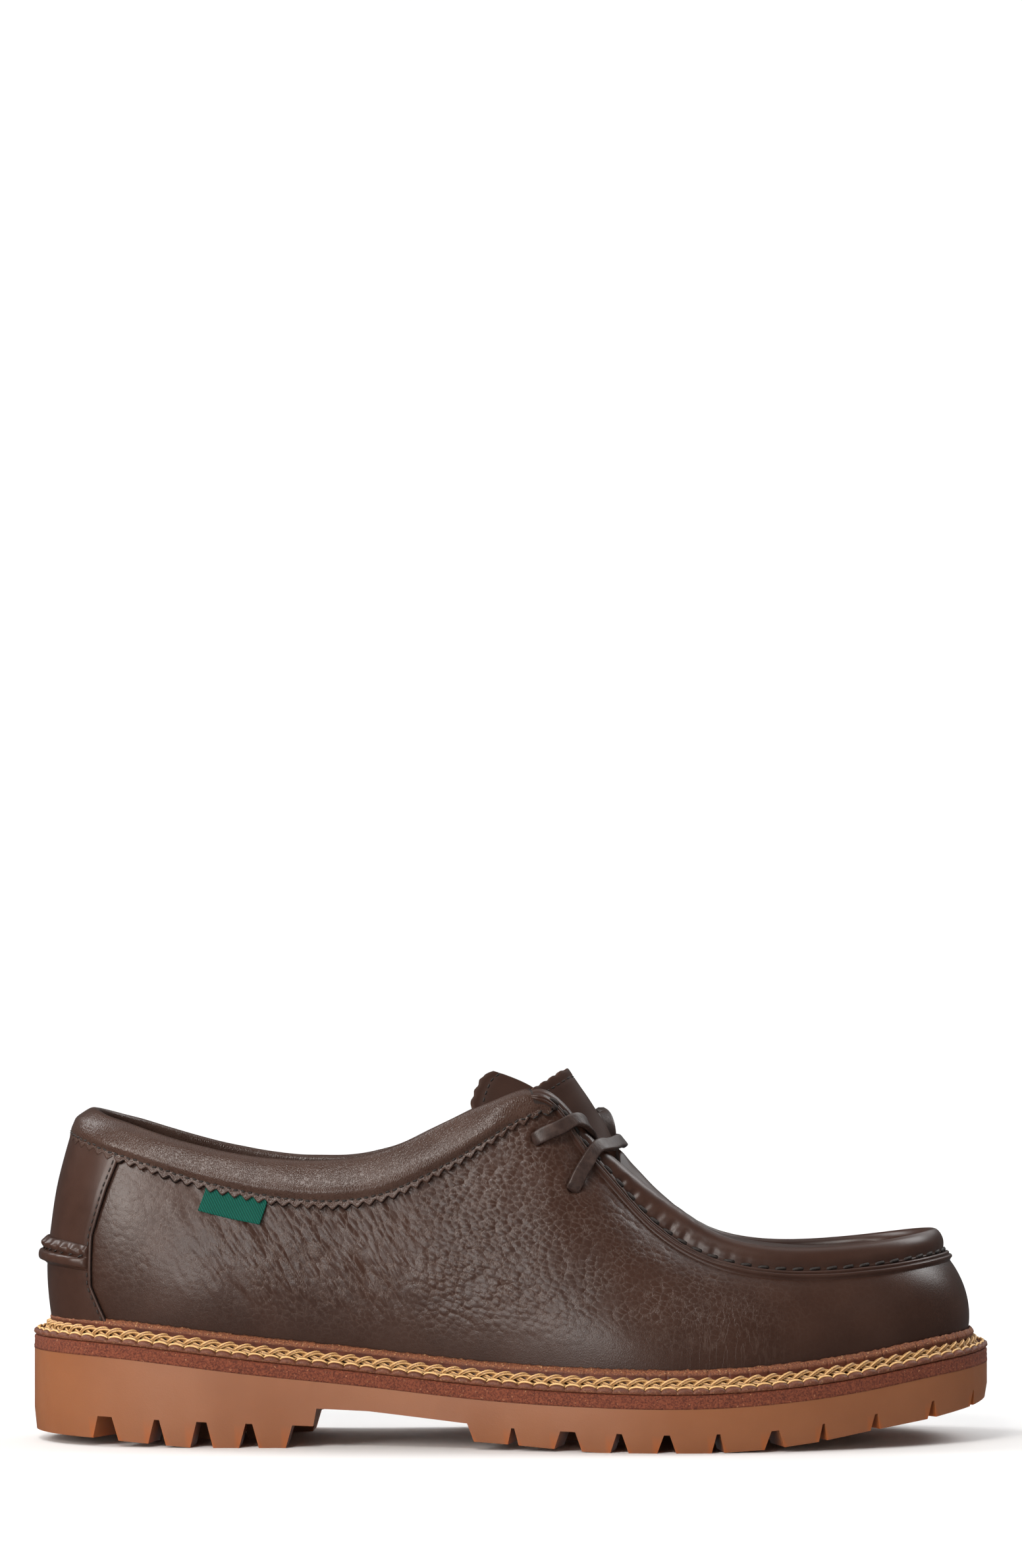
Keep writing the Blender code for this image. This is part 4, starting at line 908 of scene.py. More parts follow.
def zigzag(reach):
    """Teeth of the pinking shears: a triangle wave from -0.5 to 0.5 with slightly eased points."""
    wave = np.abs(np.mod(reach / TOOTH_PITCH, 1.0) * 2 - 1)
    return 0.75 * (wave - 0.5) - 0.125 * np.cos(np.pi * wave)


def smooth_curve(cage, samples):
    """Uniform cubic B-spline of each row of points: it stays inside its cage, so it cannot ripple."""
    cage = np.concatenate([cage[:, :1]] * 2 + [cage] + [cage[:, -1:]] * 2, axis=1)
    at = np.linspace(0, cage.shape[1] - 3, samples)
    k = np.clip(np.floor(at).astype(int), 0, cage.shape[1] - 4)
    t = (at - k)[None, :, None]
    weights = ((1 - t)**3, 3 * t**3 - 6 * t**2 + 4, 3 * t + 3 * t**2 - 3 * t**3 + 1, t**3)
    return sum(weight * cage[:, k + n] for n, weight in enumerate(weights)) / 6


def cuff_lines(w):
    """Dense section of the cuff at each w, from its lower edge up, over the fold and down inside. It swells
    less towards its ends and at the heel, where it leans in, and it dips a little beside the heel on the
    outer side."""
    deep, s = cuff_depth(w)[:, None], np.abs(w)[:, None]
    slack = 1 - ramp(s, 0.450, 0.500)
    clear = CUFF_CLEAR + CUFF_THICK - 0.6 * ramp(s, 0.470, 0.505)
    share, puff = np.array(CUFF_PUFF).T
    puff = puff * np.minimum(deep / 11, 1) * (0.1 + 0.9 * slack) * (1 - 0.6 * bell(s, 0.0, 0.09))
    v = v_below_top(w, deep * share)
    outside = wall(w, v) + wall_normal(w, v) * (clear + puff)[..., None]
    up, across = (axis[:, None] for axis in rim_axes(w))
    lean = 2.0 * bell(s, 0.0, 0.085)
    dip = 1.4 * bell(w[:, None], 0.175, 0.13)
    rise, into = np.array(CUFF_FOLD).T
    rise = wall_table(w)[:, RIM_TALL, None] + rise * (0.4 + 0.6 * slack) + 0.45 * lean - dip
    into = into + lean * CUFF_LEAN
    fold = wall_frame(w)[3][:, None] + up * rise[..., None] + across * into[..., None]
    below, padding = np.array(CUFF_INSIDE).T
    v = v_below_top(w, below)
    inside = wall(w, v) - wall_normal(w, v) * (WALL_THICK + CUFF_CLEAR + padding)[:, None]
    return smooth_curve(np.concatenate([outside, fold, inside], axis=1), CUFF_DENSE)


def make_cuff():
    """Sections of the cuff with rows spaced evenly on them, cut short along a slope at both ends. The
    lowest rows follow the teeth, and a shallow groove runs under the stitches."""
    fine = np.linspace(-CUFF_END, CUFF_END, 2001)
    reach = reach_along(wall(fine, v_below_top(fine, cuff_depth(fine)[:, None]))[:, 0])
    at = np.linspace(0, reach[-1], CUFF_COLUMNS)
    w = np.interp(at, reach, fine)
    dense = cuff_lines(w)
    climbed = reach_along(dense)
    cut = ramp(np.abs(w), 0.497, 0.509)
    kept = climbed[:, -1] * (1 - cut) + np.clip(cuff_depth(w) - 1.6, 1.5, None) * cut
    index = lookup(climbed, np.linspace(0, 1, CUFF_ROWS) * kept[:, None], np.arange(CUFF_DENSE, dtype=float))
    low = np.clip(np.floor(index).astype(int), 0, CUFF_DENSE - 2)
    column, part = np.arange(len(w))[:, None], (index - low)[..., None]
    sheet = dense[column, low] * (1 - part) + dense[column, low + 1] * part
    fall = unit(sheet[:, 0] - sheet[:, 3])
    away = np.linalg.norm(sheet - sheet[:, :1], axis=-1)
    teeth = zigzag(at)[:, None] * TOOTH_DEEP * (1 - ramp(away, 0, TOOTH_FADE)) * (index < CUFF_DENSE / 3)
    sheet = sheet + fall[:, None] * teeth[..., None]
    normal = normals_of(sheet)
    soft = noise(41, at[:, None] / 9.0, index / 22.0)
    sheet = sheet + normal * (0.14 * soft - 0.25 * bell(away, CUFF_STITCH_UP, 0.55))[..., None]
    piece = add_sheet("padded_cuff", sheet, [CUFF_LEATHER, *BACK_AND_EDGE],
                      "collar_binding", ["collar_binding"], CUFF_THICK, even=False)
    # The inner rows of the fold take the darker lining finish: painted shade inside the collar.
    shaded_inside = np.tile(np.arange(CUFF_ROWS - 1) > 0.70 * CUFF_ROWS, len(w) - 1)
    piece.data.polygons.foreach_set("material_index", shaded_inside.astype(np.int32))
    row = nearest(np.median(away, axis=0), CUFF_STITCH_UP)
    sew("cuff_thread", [(sheet[:, row], normal[:, row])], CUFF_STITCH_PITCH,
        long=1.75, thick=0.62, slot="collar_binding")


make_cuff()

# %% [markdown]
# A strip of leather covers the closing seam down the heel. It is narrow at the waist of the heel and wider
# at both ends, sewn close to its edges, and its edges are pared thin and pressed down. It is a small grid
# on the wall between the welt and the cuff, lifted by its thickness.

# %% The back strap
STRAP_EDGE = ((0.0, 0.118), (0.2, 0.1), (0.5, 0.096), (0.8, 0.104), (1.0, 0.112))
STRAP_COLUMNS, STRAP_ROWS, STRAP_THICK, STRAP_CLEAR = 110, 120, 1.2, 0.3
STRAP_LIFT, STRAP_SEAM = STRAP_CLEAR + STRAP_THICK, 0.955
FINE_PITCH, FINE_LONG, FINE_THICK = 2.4, 1.8, 0.5
WELT_TALL = 7.0


def strap_grid(shares, rows, lift):
    """Points on the wall across the strap and up it, lifted off it by so much."""
    w = shares[:, None] * straight(STRAP_EDGE, rows)
    flat = w.ravel()
    low = v_at_height(flat, np.full((1, 1), WELT_TALL - 1.0))[:, 0]
    high = v_below_top(flat, (cuff_depth(flat) - 2.5)[:, None])[:, 0]
    v = (low + (high - low) * np.tile(rows, len(shares)))[:, None]
    lift = np.broadcast_to(lift, w.shape).reshape(-1, 1, 1)
    return (wall(flat, v) + wall_normal(flat, v) * lift)[:, 0].reshape(len(shares), len(rows), 3)


def make_back_strap():
    """Grid on the wall, lifted by the strap's thickness, with its edges pressed down and grooved under the
    stitches."""
    shares, rows = np.linspace(-1, 1, STRAP_COLUMNS), np.linspace(0, 1, STRAP_ROWS)
    edge = np.abs(shares)
    lift = STRAP_LIFT - 0.15 * ramp(edge, 0.97, 1.0) - 0.16 * bell(edge, STRAP_SEAM, 0.014)
    soft = 0.22 * noise(51, shares[:, None] * 2.2, rows * 4.0)
    sheet = strap_grid(shares, rows, lift[:, None] + soft)
    add_sheet("back_strap_strip", sheet, [STRIP_LEATHER, *BACK_AND_EDGE],
              "back_strap", ["back_strap"], STRAP_THICK)
    normal = normals_of(sheet)
    seams = [nearest(shares, share) for share in (-STRAP_SEAM, STRAP_SEAM)]
    lines = [(sheet[i], normal[i]) for i in seams]
    sew("back_strap_thread", lines, FINE_PITCH, FINE_LONG, FINE_THICK, "back_strap")


make_back_strap()

# %% [markdown]
# Half way up the strap a short seam is gathered across it: a lip of leather, puckered along its top and
# held by a few stitches. It is a small profile carried across the strap, with its height waved by the
# gathers.

# %% The puckered heel tab
TAB_ROWS = (0.300, 0.428)
TAB_SECTION = (
    (0.0, -0.6), (0.02, 1.4), (0.07, 2.5), (0.22, 2.95), (0.40, 2.8), (0.49, 2.1), (0.54, 1.1), (0.62, 1.6),
    (0.78, 1.9), (0.93, 1.3), (1.0, -0.6),
)
TAB_COLUMNS, TAB_SAMPLES, TAB_REACH, TAB_GATHERS = 120, 40, 0.97, 13
TAB_SEAM, TAB_SEAM_ABOVE, TAB_SEAM_OUT, TAB_PITCH = 0.56, 0.65375, 1.35, 3.9


def make_heel_tab():
    """Closed section carried across the strap; its upper part is waved by the gathers and its ends are
    rounded off."""
    shares = np.linspace(-TAB_REACH, TAB_REACH, TAB_COLUMNS)
    fade = np.sqrt(np.clip(1 - np.abs(shares / TAB_REACH)**8, 0.02, 1))
    wave = np.sin(np.pi * TAB_GATHERS * shares + 0.6 * np.sin(7 * shares))

    def across(up, out):
        row = TAB_ROWS[0] + (TAB_ROWS[1] - TAB_ROWS[0]) * up
        return strap_grid(shares, np.array([row]), np.reshape(STRAP_LIFT + out, (-1, 1)))[:, 0]

    rings = []
    for up, out in TAB_SECTION:
        gather = wave * (0.62 * bell(up, 0.80, 0.18) + 0.10 * bell(up, 0.3, 0.2))
        rings.append(across(up, (out + gather) * (fade if out > 0 else 1)))
    loops = closed_curves(np.stack(rings, axis=1), TAB_SAMPLES)
    faces = tube_faces(*loops.shape[:2])
    add_piece("puckered_heel_tab", loops, faces, [STRIP_LEATHER], "heel_tab", ["heel_tab"])
    seam, above = (across(up, TAB_SEAM_OUT) for up in (TAB_SEAM, TAB_SEAM_ABOVE))
    rise, way = unit(above - seam), unit(np.gradient(seam, axis=0))
    place = even_places(seam, TAB_PITCH)
    stitch_row("heel_tab_thread", at_place(seam, place), at_place(way * 0.9 + rise * 0.5, place),
               at_place(np.cross(way, rise), place), long=2.2, thick=FINE_THICK, slot="heel_tab")


make_heel_tab()

# %% [markdown]
# The tongue is a thick leaf that comes up from under the plug, pinched to a crest in the throat, with one
# wing standing behind. Its top edge is pinked and sewn like the cuff's, and its flesh side shows at the
# edge. A cage of four ribs with six points each is enough: splines both ways turn it into a fine grid.

# %% The tongue
TONGUE = np.array((
    ((50, -18.5, 60.5), (50.5, -10, 64.5), (51, 0, 66.8), (51, 7, 66.0), (50.5, 13, 64), (50, 17.5, 60.5)),
    ((33.0, -18, 74), (34.0, -10, 84.5), (34.8, -1, 89.2), (34.6, 6, 88.4), (34.0, 12, 84.8), (33.0, 17, 76)),
    ((16.5, -17, 90), (23, -9, 95.5), (29.2, 0, 100), (23.5, 6.5, 96.5), (15.5, 12.5, 96),
     (14.5, 17.4, 104.6)),
    ((2.2, -16.5, 108.4), (10.2, -9, 112.9), (17.7, 0, 117.2), (4, 7.5, 107.5), (-12.5, 13.6, 104),
     (-8.5, 18.6, 116.9)),
), float)
TONGUE_LONG, TONGUE_WIDE, TONGUE_THICK, TONGUE_ROUND, TONGUE_SEAM = 90, 190, 1.9, 4.5, 3.0


def make_tongue():
    """Splines along the ribs and then across them. The top edge is rounded at its far corner, notched
    beside the crest and cut to teeth, and a groove runs under the stitches, which show on both faces."""
    ribs, strands = TONGUE.shape[:2]
    along, across = np.linspace(0, ribs - 1, TONGUE_LONG), np.linspace(0, strands - 1, TONGUE_WIDE)
    lines = spline(range(ribs), TONGUE.reshape(ribs, -1), along).reshape(TONGUE_LONG, strands, 3)
    sheet = spline(range(strands), lines.transpose(1, 0, 2).reshape(strands, -1), across)
    sheet = sheet.reshape(TONGUE_WIDE, TONGUE_LONG, 3)
    climb = unit(sheet[:, -1] - sheet[:, -4])
    away = np.linalg.norm(sheet - sheet[:, -1:], axis=-1)
    reach = reach_along(sheet[:, -1])
    corner = np.clip(1 - (reach[-1] - reach) / TONGUE_ROUND, 0, 1)
    cut = 0.6 * TONGUE_ROUND * corner**2 + 1.2 * bell(reach, reach[TONGUE_WIDE * 2 // (strands - 1)], 2.0)
    teeth = (zigzag(reach) - 0.5) * 0.6 * (1 - ramp(cut, 0.0, 1.0))
    trim = teeth[:, None] * (1 - ramp(away, 0, 3.0)) - cut[:, None] * (1 - ramp(away, 0, 9.0))
    sheet = sheet + climb[:, None] * trim[..., None]
    normal = normals_of(sheet)
    soft = 0.2 * noise(61, sheet[..., 0] / 7.0, sheet[..., 2] / 8.0)
    sheet = sheet + normal * (soft - 0.2 * bell(away, TONGUE_SEAM, 0.7))[..., None]
    add_sheet("tongue_leaf", sheet, [TONGUE_LEATHER, FLESH_LEATHER],
              "tongue", ["tongue"], TONGUE_THICK, even=False)
    row = nearest(np.median(away, axis=0), TONGUE_SEAM)
    line, ups = sheet[:, row], normal[:, row]
    place = even_places(line, FINE_PITCH)
    for name, side, depth in (("tongue_thread", 1, 0.0), ("tongue_thread_back", -1, TONGUE_THICK)):
        face = line - ups * depth
        stitch_row(name, at_place(face, place), at_place(np.gradient(face, axis=0), place),
                   at_place(ups * side, place), FINE_LONG, FINE_THICK, "tongue")


make_tongue()

# %% [markdown]
# The lace is a flat strip of soft leather. It comes out of a punched hole, lies on the wall, goes over the
# flange and the rim and crosses the throat. A curve with a bevel would twist where the route turns, so the
# strip's face is told at each point: the section is a rounded box carried along a smooth route, with the
# facing blended.

# %% The lace
LACE_WIDE, LACE_THICK, LACE_SIDES = 4.5, 2.0, 20
LACE_BAR = {
    "wall": ((0.5502, 80.3, 0.1), (0.5545, 83.3, 0.5), (0.5605, 87.0, 1.2)),
    "rim": (0.5660, 0.5700),
    "over": ((0.25, -1.5, 0.1, -1.0), (0.95, -0.2, 0.7, -0.7)),
}
LACE_END = {
    "wall": ((0.5125, 95.2, 0.1), (0.5205, 96.4, 0.5), (0.5335, 98.2, 1.2)),
    "rim": (0.5440, 0.5560),
    "over": ((0.1, -1.3, 0.0, -1.0), (0.75, -0.5, 0.4, -0.9), (1.0, 1.6, 1.0, -0.1)),
}
BAR_MIDDLE = np.array((
    (33.2, -15.0, 93.9), (34.6, -8.0, 93.9), (35.0, 0.0, 93.9), (34.6, 8.0, 93.9), (33.2, 15.0, 93.9),
))
BAR_FACE = np.array((
    (0.7, -0.35, 0.6), (0.75, -0.1, 0.6), (0.75, 0.0, 0.6), (0.75, 0.1, 0.6), (0.7, 0.35, 0.6),
))
OUTER_TUCK = np.array(((25.0, -19.4, 94.0), (25.6, -18.6, 90.4), (25.8, -18.2, 87.0)))
INNER_TUCK = np.array(((28.6, 15.0, 102.4), (30.6, 11.0, 99.6), (31.2, 9.8, 95.8), (31.4, 9.6, 92.4)))
LACE_FACE, TUCK_FACE = np.array((0.3, 0.9, 0.25)), np.array((0.35, -0.88, 0.3))
LACE_CLEAR = 0.45


def lace_leather():
    """Soft leather with streaks along the strip, pores and paler scuffs."""
    finish = Finish("lace_leather")
    streak = finish.mottle(0.9, 3.0, where=finish.place((2.2, 1.0, 2.2), (0, 35, 0)))
    pores = finish.mottle(0.3, 2.0)
    scuff = finish.mottle(4.5, 3.0).within(0.52, 0.72)
    colour = streak.within(0.3, 0.7).blend((0.024, 0.012, 0.009), (0.040, 0.021, 0.0155))
    colour = (scuff * 0.5).blend(colour, (0.070, 0.042, 0.033))
    return finish.done(colour, 0.42 + (streak - 0.5) * 0.2, streak * 0.7 + pores * 0.3, deep=0.15)


LACE_LEATHER = lace_leather()


def lace_side(place, inner):
    """Route of the lace from inside its hole, out of it, up the wall and over the rim, and the way it
    faces."""
    points, facing = [], []
    for s, z, clear in place["wall"]:
        spot, out = spot_at(2 - s if inner else s, z)
        facing.append(out)
        points.append(spot + out * (LACE_THICK / 2 + clear))
    along_rim = np.linspace(*place["rim"], len(place["over"]))
    for s, (share, depth, out_up, out_across) in zip(along_rim, place["over"]):
        w = np.array([2 - s if inner else s])
        up, across = (axis[0] for axis in rim_axes(w))
        facing.append(up * out_up + across * out_across)
        base = wall_frame(w)[3][0] + up * share * rim_tall(w)[0] + across * depth
        points.append(base + facing[-1] * (LACE_THICK / 2 + LACE_CLEAR))
    points, facing = np.array(points), np.array(facing)
    sunk = points[0] - facing[0] * (LACE_THICK + 0.3) - unit(points[1] - points[0]) * 0.9
    return np.vstack([sunk, points[0] - facing[0] * 0.7, points[1:]]), np.vstack([facing[:1], facing])


def lace_rings(route, facing, step=0.5):
    """Rings of a rounded box along a smooth route: half a width to the side, half a thickness along the
    facing."""
    knots = reach_along(route)
    at = np.linspace(0, knots[-1], int(knots[-1] / step))
    middle = spline(knots, route, at)
    along = unit(np.gradient(middle, axis=0))
    out = blend_rows(at, knots, facing)
    out = unit(out - along * np.sum(out * along, axis=1, keepdims=True))
    side = np.cross(along, out)
    turn = turns(LACE_SIDES)
    across, high = (np.sign(f) * np.abs(f)**0.42 for f in (np.cos(turn), np.sin(turn)))
    wide = LACE_WIDE / 2 * (1 + 0.06 * noise(71, at / 5.0, 0))
    dished = LACE_THICK / 2 * (high - 0.10 * (1 - across**2))
    spread = side[:, None] * (wide[:, None] * across)[..., None]
    return middle[:, None] + spread + out[:, None] * dished[:, None]


def make_lace():
    """The bar from hole to hole over the throat, and one end on each side from its hole down under the
    tongue."""
    (near, near_face), (far, far_face) = (lace_side(LACE_BAR, inner) for inner in (False, True))
    parts = [("lace_bar", [near, BAR_MIDDLE, far[::-1]], [near_face, BAR_FACE, far_face[::-1]], ["lace"])]
    for name, inner, tuck, turned in (("lace_outer_end", False, OUTER_TUCK, LACE_FACE),
                                      ("lace_inner_end", True, INNER_TUCK, TUCK_FACE)):
        route, face = lace_side(LACE_END, inner)
        parts.append((name, [route, tuck], [face, [turned] * len(tuck)], ()))
    for name, routes, faces, nodes in parts:
        rings = lace_rings(np.concatenate(routes), np.concatenate(faces))
        add_piece(name, rings, tube_faces(*rings.shape[:2]), [LACE_LEATHER], "lace", nodes)
        print(name, "is", round(float(reach_along(rings.mean(axis=1))[-1])), "mm long")


make_lace()

# %% [markdown]
# A small woven tab is caught under the cuff on the outer side. It is left plain. It is a ribbon folded in
# half, so it is one sheet that hangs down, turns round at its foot and goes up again behind itself. The
# weave is a fine twill.

# %% The side label
LABEL_S, LABEL_LEAN, LABEL_TALL, LABEL_HIDDEN = (0.2015, 0.2645), -0.006, 7.0, 2.0
LABEL_COLUMNS, LABEL_ROWS, LABEL_THREAD, LABEL_CLEAR, LABEL_FOLD = 60, 44, 0.32, 0.35, 0.62


def woven_ribbon():
    """Twill: slanting bands of green, with a little fuzz."""
    finish = Finish("woven_ribbon")
    twill = finish.node("ShaderNodeTexWave", {"wave_type": "BANDS", "bands_direction": "DIAGONAL"}, {
        "Vector": finish.place((1.0, 4.0, 1.0), (0, 20, 0)), "Scale": 0.62, "Distortion": 0.6, "Detail": 1.0})
    fuzz = finish.mottle(0.35, 2.0)
    colour = twill.blend((0.0010, 0.043, 0.030), (0.003, 0.092, 0.066))
    colour = (fuzz * 0.25).blend(colour, (0.001, 0.03, 0.022))
    return finish.done(colour, 0.60 + fuzz * 0.2, twill * 0.7 + fuzz * 0.3, deep=0.10, gloss=0.15)


def make_label():
    """Sheet on the wall that drops from under the cuff to the fold and rises again behind itself; the front
    half stands off by the fold, and its free end curls a little."""
    across, t = np.linspace(0, 1, LABEL_COLUMNS)[:, None], np.linspace(0, 1, LABEL_ROWS)
    drop = (LABEL_TALL + LABEL_HIDDEN) * (1 - np.abs(2 * t - 1))
    gap = LABEL_CLEAR + LABEL_FOLD * (1 - ramp(t, 0.44, 0.56))
    lean = LABEL_LEAN * np.clip(drop - LABEL_HIDDEN, 0, None) / LABEL_TALL
    w = (LABEL_S[0] + (LABEL_S[1] - LABEL_S[0]) * across + lean).ravel()
    below = cuff_depth(w) - LABEL_HIDDEN + 0.5 + np.tile(drop, LABEL_COLUMNS)
    v = v_below_top(w, below[:, None])
    curl = 0.5 * bell(across, 1.0, 0.25) * ramp(drop, LABEL_HIDDEN, LABEL_HIDDEN + LABEL_TALL)
    wavy = 0.12 * np.sin(across * 9.0) * ramp(drop, 2, 6)
    lift = (gap + curl + wavy).reshape(-1, 1, 1)
    sheet = (wall(w, v) + wall_normal(w, v) * lift)[:, 0].reshape(LABEL_COLUMNS, LABEL_ROWS, 3)
    piece = add_sheet("side_label", sheet[:, ::-1], [woven_ribbon()],
                      "label_tab", ["label_tab"], LABEL_THREAD)


make_label()

# %% [markdown]
# The welt is a strip of red-brown leather round the foot of the upper: an upright part with a raw bevelled
# top, and a flat part out over the midsole. Along the flat part's edge a row of stitches has raised the
# leather to scallops. It is a closed profile carried round the outline; the bevel is roughened and nicked,
# the edge is waved.

# %% The welt
WELT_THICK, WELT_SHELF, WELT_BEVEL = 1.6, 1.6, 1.5
SCALLOPS, SCALLOP_STEPS, NICK_PITCH = 142, 14, 6.5
WELT_RAW = np.array([0, 0.6, 1, 1, 1, 0.75, 0, 0, 0, 0, 0.1, 0.25, 0.3, 0.35, 0.5, 0.9, 1.0])


def welt_leather():
    """Smooth red-brown where the raw share is 0, orange fibres with pale specks where it is 1."""
    finish = Finish("welt_leather")
    raw = finish.share("raw")
    fuzz = finish.mottle(0.45, 4.0, 0.7)
    specks = finish.mottle(0.7, 2.0, where=finish.place((1, 1, 1), (30, 15, 40)))
    smooth = finish.mottle(3.5, 3.0).within(0.3, 0.7).blend((0.062, 0.0140, 0.0072), (0.115, 0.028, 0.0135))
    cut = fuzz.within(0.36, 0.64).blend((0.105, 0.027, 0.0115), (0.275, 0.092, 0.033))
    cut = specks.within(0.60, 0.72).blend(cut, (0.50, 0.28, 0.13))
    colour = raw.blend(smooth, cut)
    return finish.done(colour, 0.42 + raw * 0.3, fuzz * (raw * 0.9 + 0.12), deep=0.28)


def beside_wall(w, height, out):
    """Points this far outside the wall, at this height above its foot."""
    return wall(w, v_at_height(w, np.full((1, 1), height)))[:, 0] + outwards(w) * out


def scallop(w):
    """Round bumps of the edge stitching, from 0 between them to 1 on top."""
    return np.sqrt(np.clip(1 - (2 * np.mod(w / 2 * SCALLOPS, 1.0) - 1)**2, 0, 1))


def on_seat(plan, rise):
    """Points of a plan so far above the midsole's top."""
    return raised(plan, seat(plan[:, 0]) + rise)


def make_welt():
    """Closed profile at each w: up beside the wall, over the frayed and nicked bevel, down to the corner,
    out along the flat part, over the scallops at its edge and back under."""
    w = all_round(SCALLOPS * SCALLOP_STEPS)
    reach, out, bump = w * HALF_ROUND, outwards(w), scallop(w)[:, None]
    frayed, ragged = noise(81, reach / 1.1, 0)[:, None], noise(83, reach / 0.8, 5)[:, None]
    nick = np.clip(1 - np.abs(np.mod(reach / NICK_PITCH, 1.0) - 0.5) * 16, 0, 1)
    nick = (nick * ramp(side_of(w), 0.45, 0.60))[:, None]

    def stand(drop, thick):
        return beside_wall(w, WELT_TALL - drop, GAP + thick)

    def flat(inset, drop, lift=0.0, push=0.0):
        return on_seat(outline(w, inset)[0], WELT_SHELF - drop) + UP * (lift * bump) + out * (push * bump)

    rows = [
        on_seat(outline(w, LEDGE - GAP)[0], -0.3),
        stand(0.4, 0.0),
        stand(0.0, 0.15) + UP * (0.22 * frayed),
        stand(0.4, 0.75) + out * (0.16 * ragged - 0.5 * nick),
        stand(0.9, 1.2) + out * (0.16 * frayed - 0.8 * nick),
        stand(WELT_BEVEL, WELT_THICK) + out * (0.08 * ragged - 0.6 * nick),
        stand(WELT_BEVEL + 0.6, WELT_THICK) - out * (0.45 * nick),
        stand(3.8, WELT_THICK - 0.1),
        stand(6.1, WELT_THICK),
        flat(3.6, 0.8),
        flat(2.2, 0.35, 0.25),
        flat(1.3, 0.55, 1.05),
        flat(0.7, 0.85, 1.25, 0.2),
        flat(0.25, 1.05, 0.95, 0.35),
        flat(0.1, 1.3, 0.45, 0.35),
        flat(0.5, 1.5) + out * (0.12 * ragged),
        flat(1.5, 1.6),
    ]
    rings = np.stack(rows, axis=1)
    faces = grid_faces(*rings.shape[:2], True, True)
    add_piece("storm_welt", rings, faces, [welt_leather()], "welt", ["welt"], raw=WELT_RAW)


make_welt()

# %% [markdown]
# A thick tan thread is plaited along the corner of the welt. In a plait of three each strand swings from
# side to side and dips under the others twice in the same time, so its path is a sine across and a sine of
# twice the frequency in and out, and the three strands are a third of a turn apart. Each strand is itself
# twisted of plies.

# %% The plaited braid
PLAITS, PLAIT_STEPS, STRAND_SIDES = 44, 26, 12
PLAIT_SWING, PLAIT_DIP, STRAND_WIDE, STRAND_FLAT = 1.42, 0.74, 0.66, 0.62
PLIES, PLY_TURNS, PLY_SWELL, PLAIT_UP, PLAIT_OUT = 4, 3, 0.20, 2.45, 0.75


def braid_thread():
    """Thread painted brown between the plies as painted shade and pale where a ply stands up as a painted
    highlight, with light fuzz painted as glints.
    """
    finish = Finish("braid_thread")
    ply = finish.share("ply")
    fuzz = finish.mottle(0.35, 3.0, 0.65)
    # Brown between the plies is painted shade, pale on them a painted highlight.
    colour = ply.within(0.1, 0.9).blend((0.20, 0.080, 0.023), (0.84, 0.52, 0.22))
    # Light fuzz: painted glints.
    colour = fuzz.within(0.56, 0.72).blend(colour, (0.92, 0.68, 0.36))
    return finish.done(colour, 0.40 + fuzz * 0.15, ply * 0.4 + fuzz * 0.6, deep=0.2)


def make_braid():
    """Three strands of rings: the axis follows the plait's two sines, and the radius swells with the
    plies."""
    w = all_round(PLAITS * PLAIT_STEPS)
    out = outwards(w)
    middle = beside_wall(w, PLAIT_UP, GAP + WELT_THICK + PLAIT_OUT)
    wide, face = unit(UP * 0.97 - out * 0.24), unit(out * 0.97 + UP * 0.24)
    turn = turns(STRAND_SIDES)
    points, plies, faces = [], [], []
    for strand in range(3):
        phase = 2 * np.pi * (w / 2 * PLAITS + strand / 3)[:, None]
        axis = middle + wide * (PLAIT_SWING * np.sin(phase)) + face * (PLAIT_DIP * np.sin(2 * phase))
        along = unit(np.roll(axis, -1, axis=0) - np.roll(axis, 1, axis=0))
        side = unit(wide - along * np.sum(wide * along, axis=1, keepdims=True))
        up = np.cross(along, side)
        twist = np.cos(PLIES * turn + np.pi * PLY_TURNS * PLAITS * w[:, None])
        swell = 1 + PLY_SWELL * twist
        ring = side[:, None] * (STRAND_WIDE * np.cos(turn) * swell)[..., None]
        ring = ring + up[:, None] * (STRAND_FLAT * np.sin(turn) * swell)[..., None]
        start = strand * len(w) * STRAND_SIDES
        faces += (np.array(grid_faces(len(w), STRAND_SIDES, True, True)) + start).tolist()
        points.append((axis[:, None] + ring).reshape(-1, 3))
        plies.append((twist / 2 + 0.5).ravel())
    add_piece("plaited_braid", np.concatenate(points), faces, [BRAID_THREAD], "welt_braid", ["welt_braid"],
              ply=np.concatenate(plies))


BRAID_THREAD = braid_thread()
make_braid()

# %% [markdown]
# The edge stitching shows as a thin arc of the same thread over the upper side of each scallop.

# %% Arcs of thread over the scallops
ARC_RINGS, ARC_SIDES, ARC_THICK, ARC_INSET = 9, 6, 0.34, 1.25


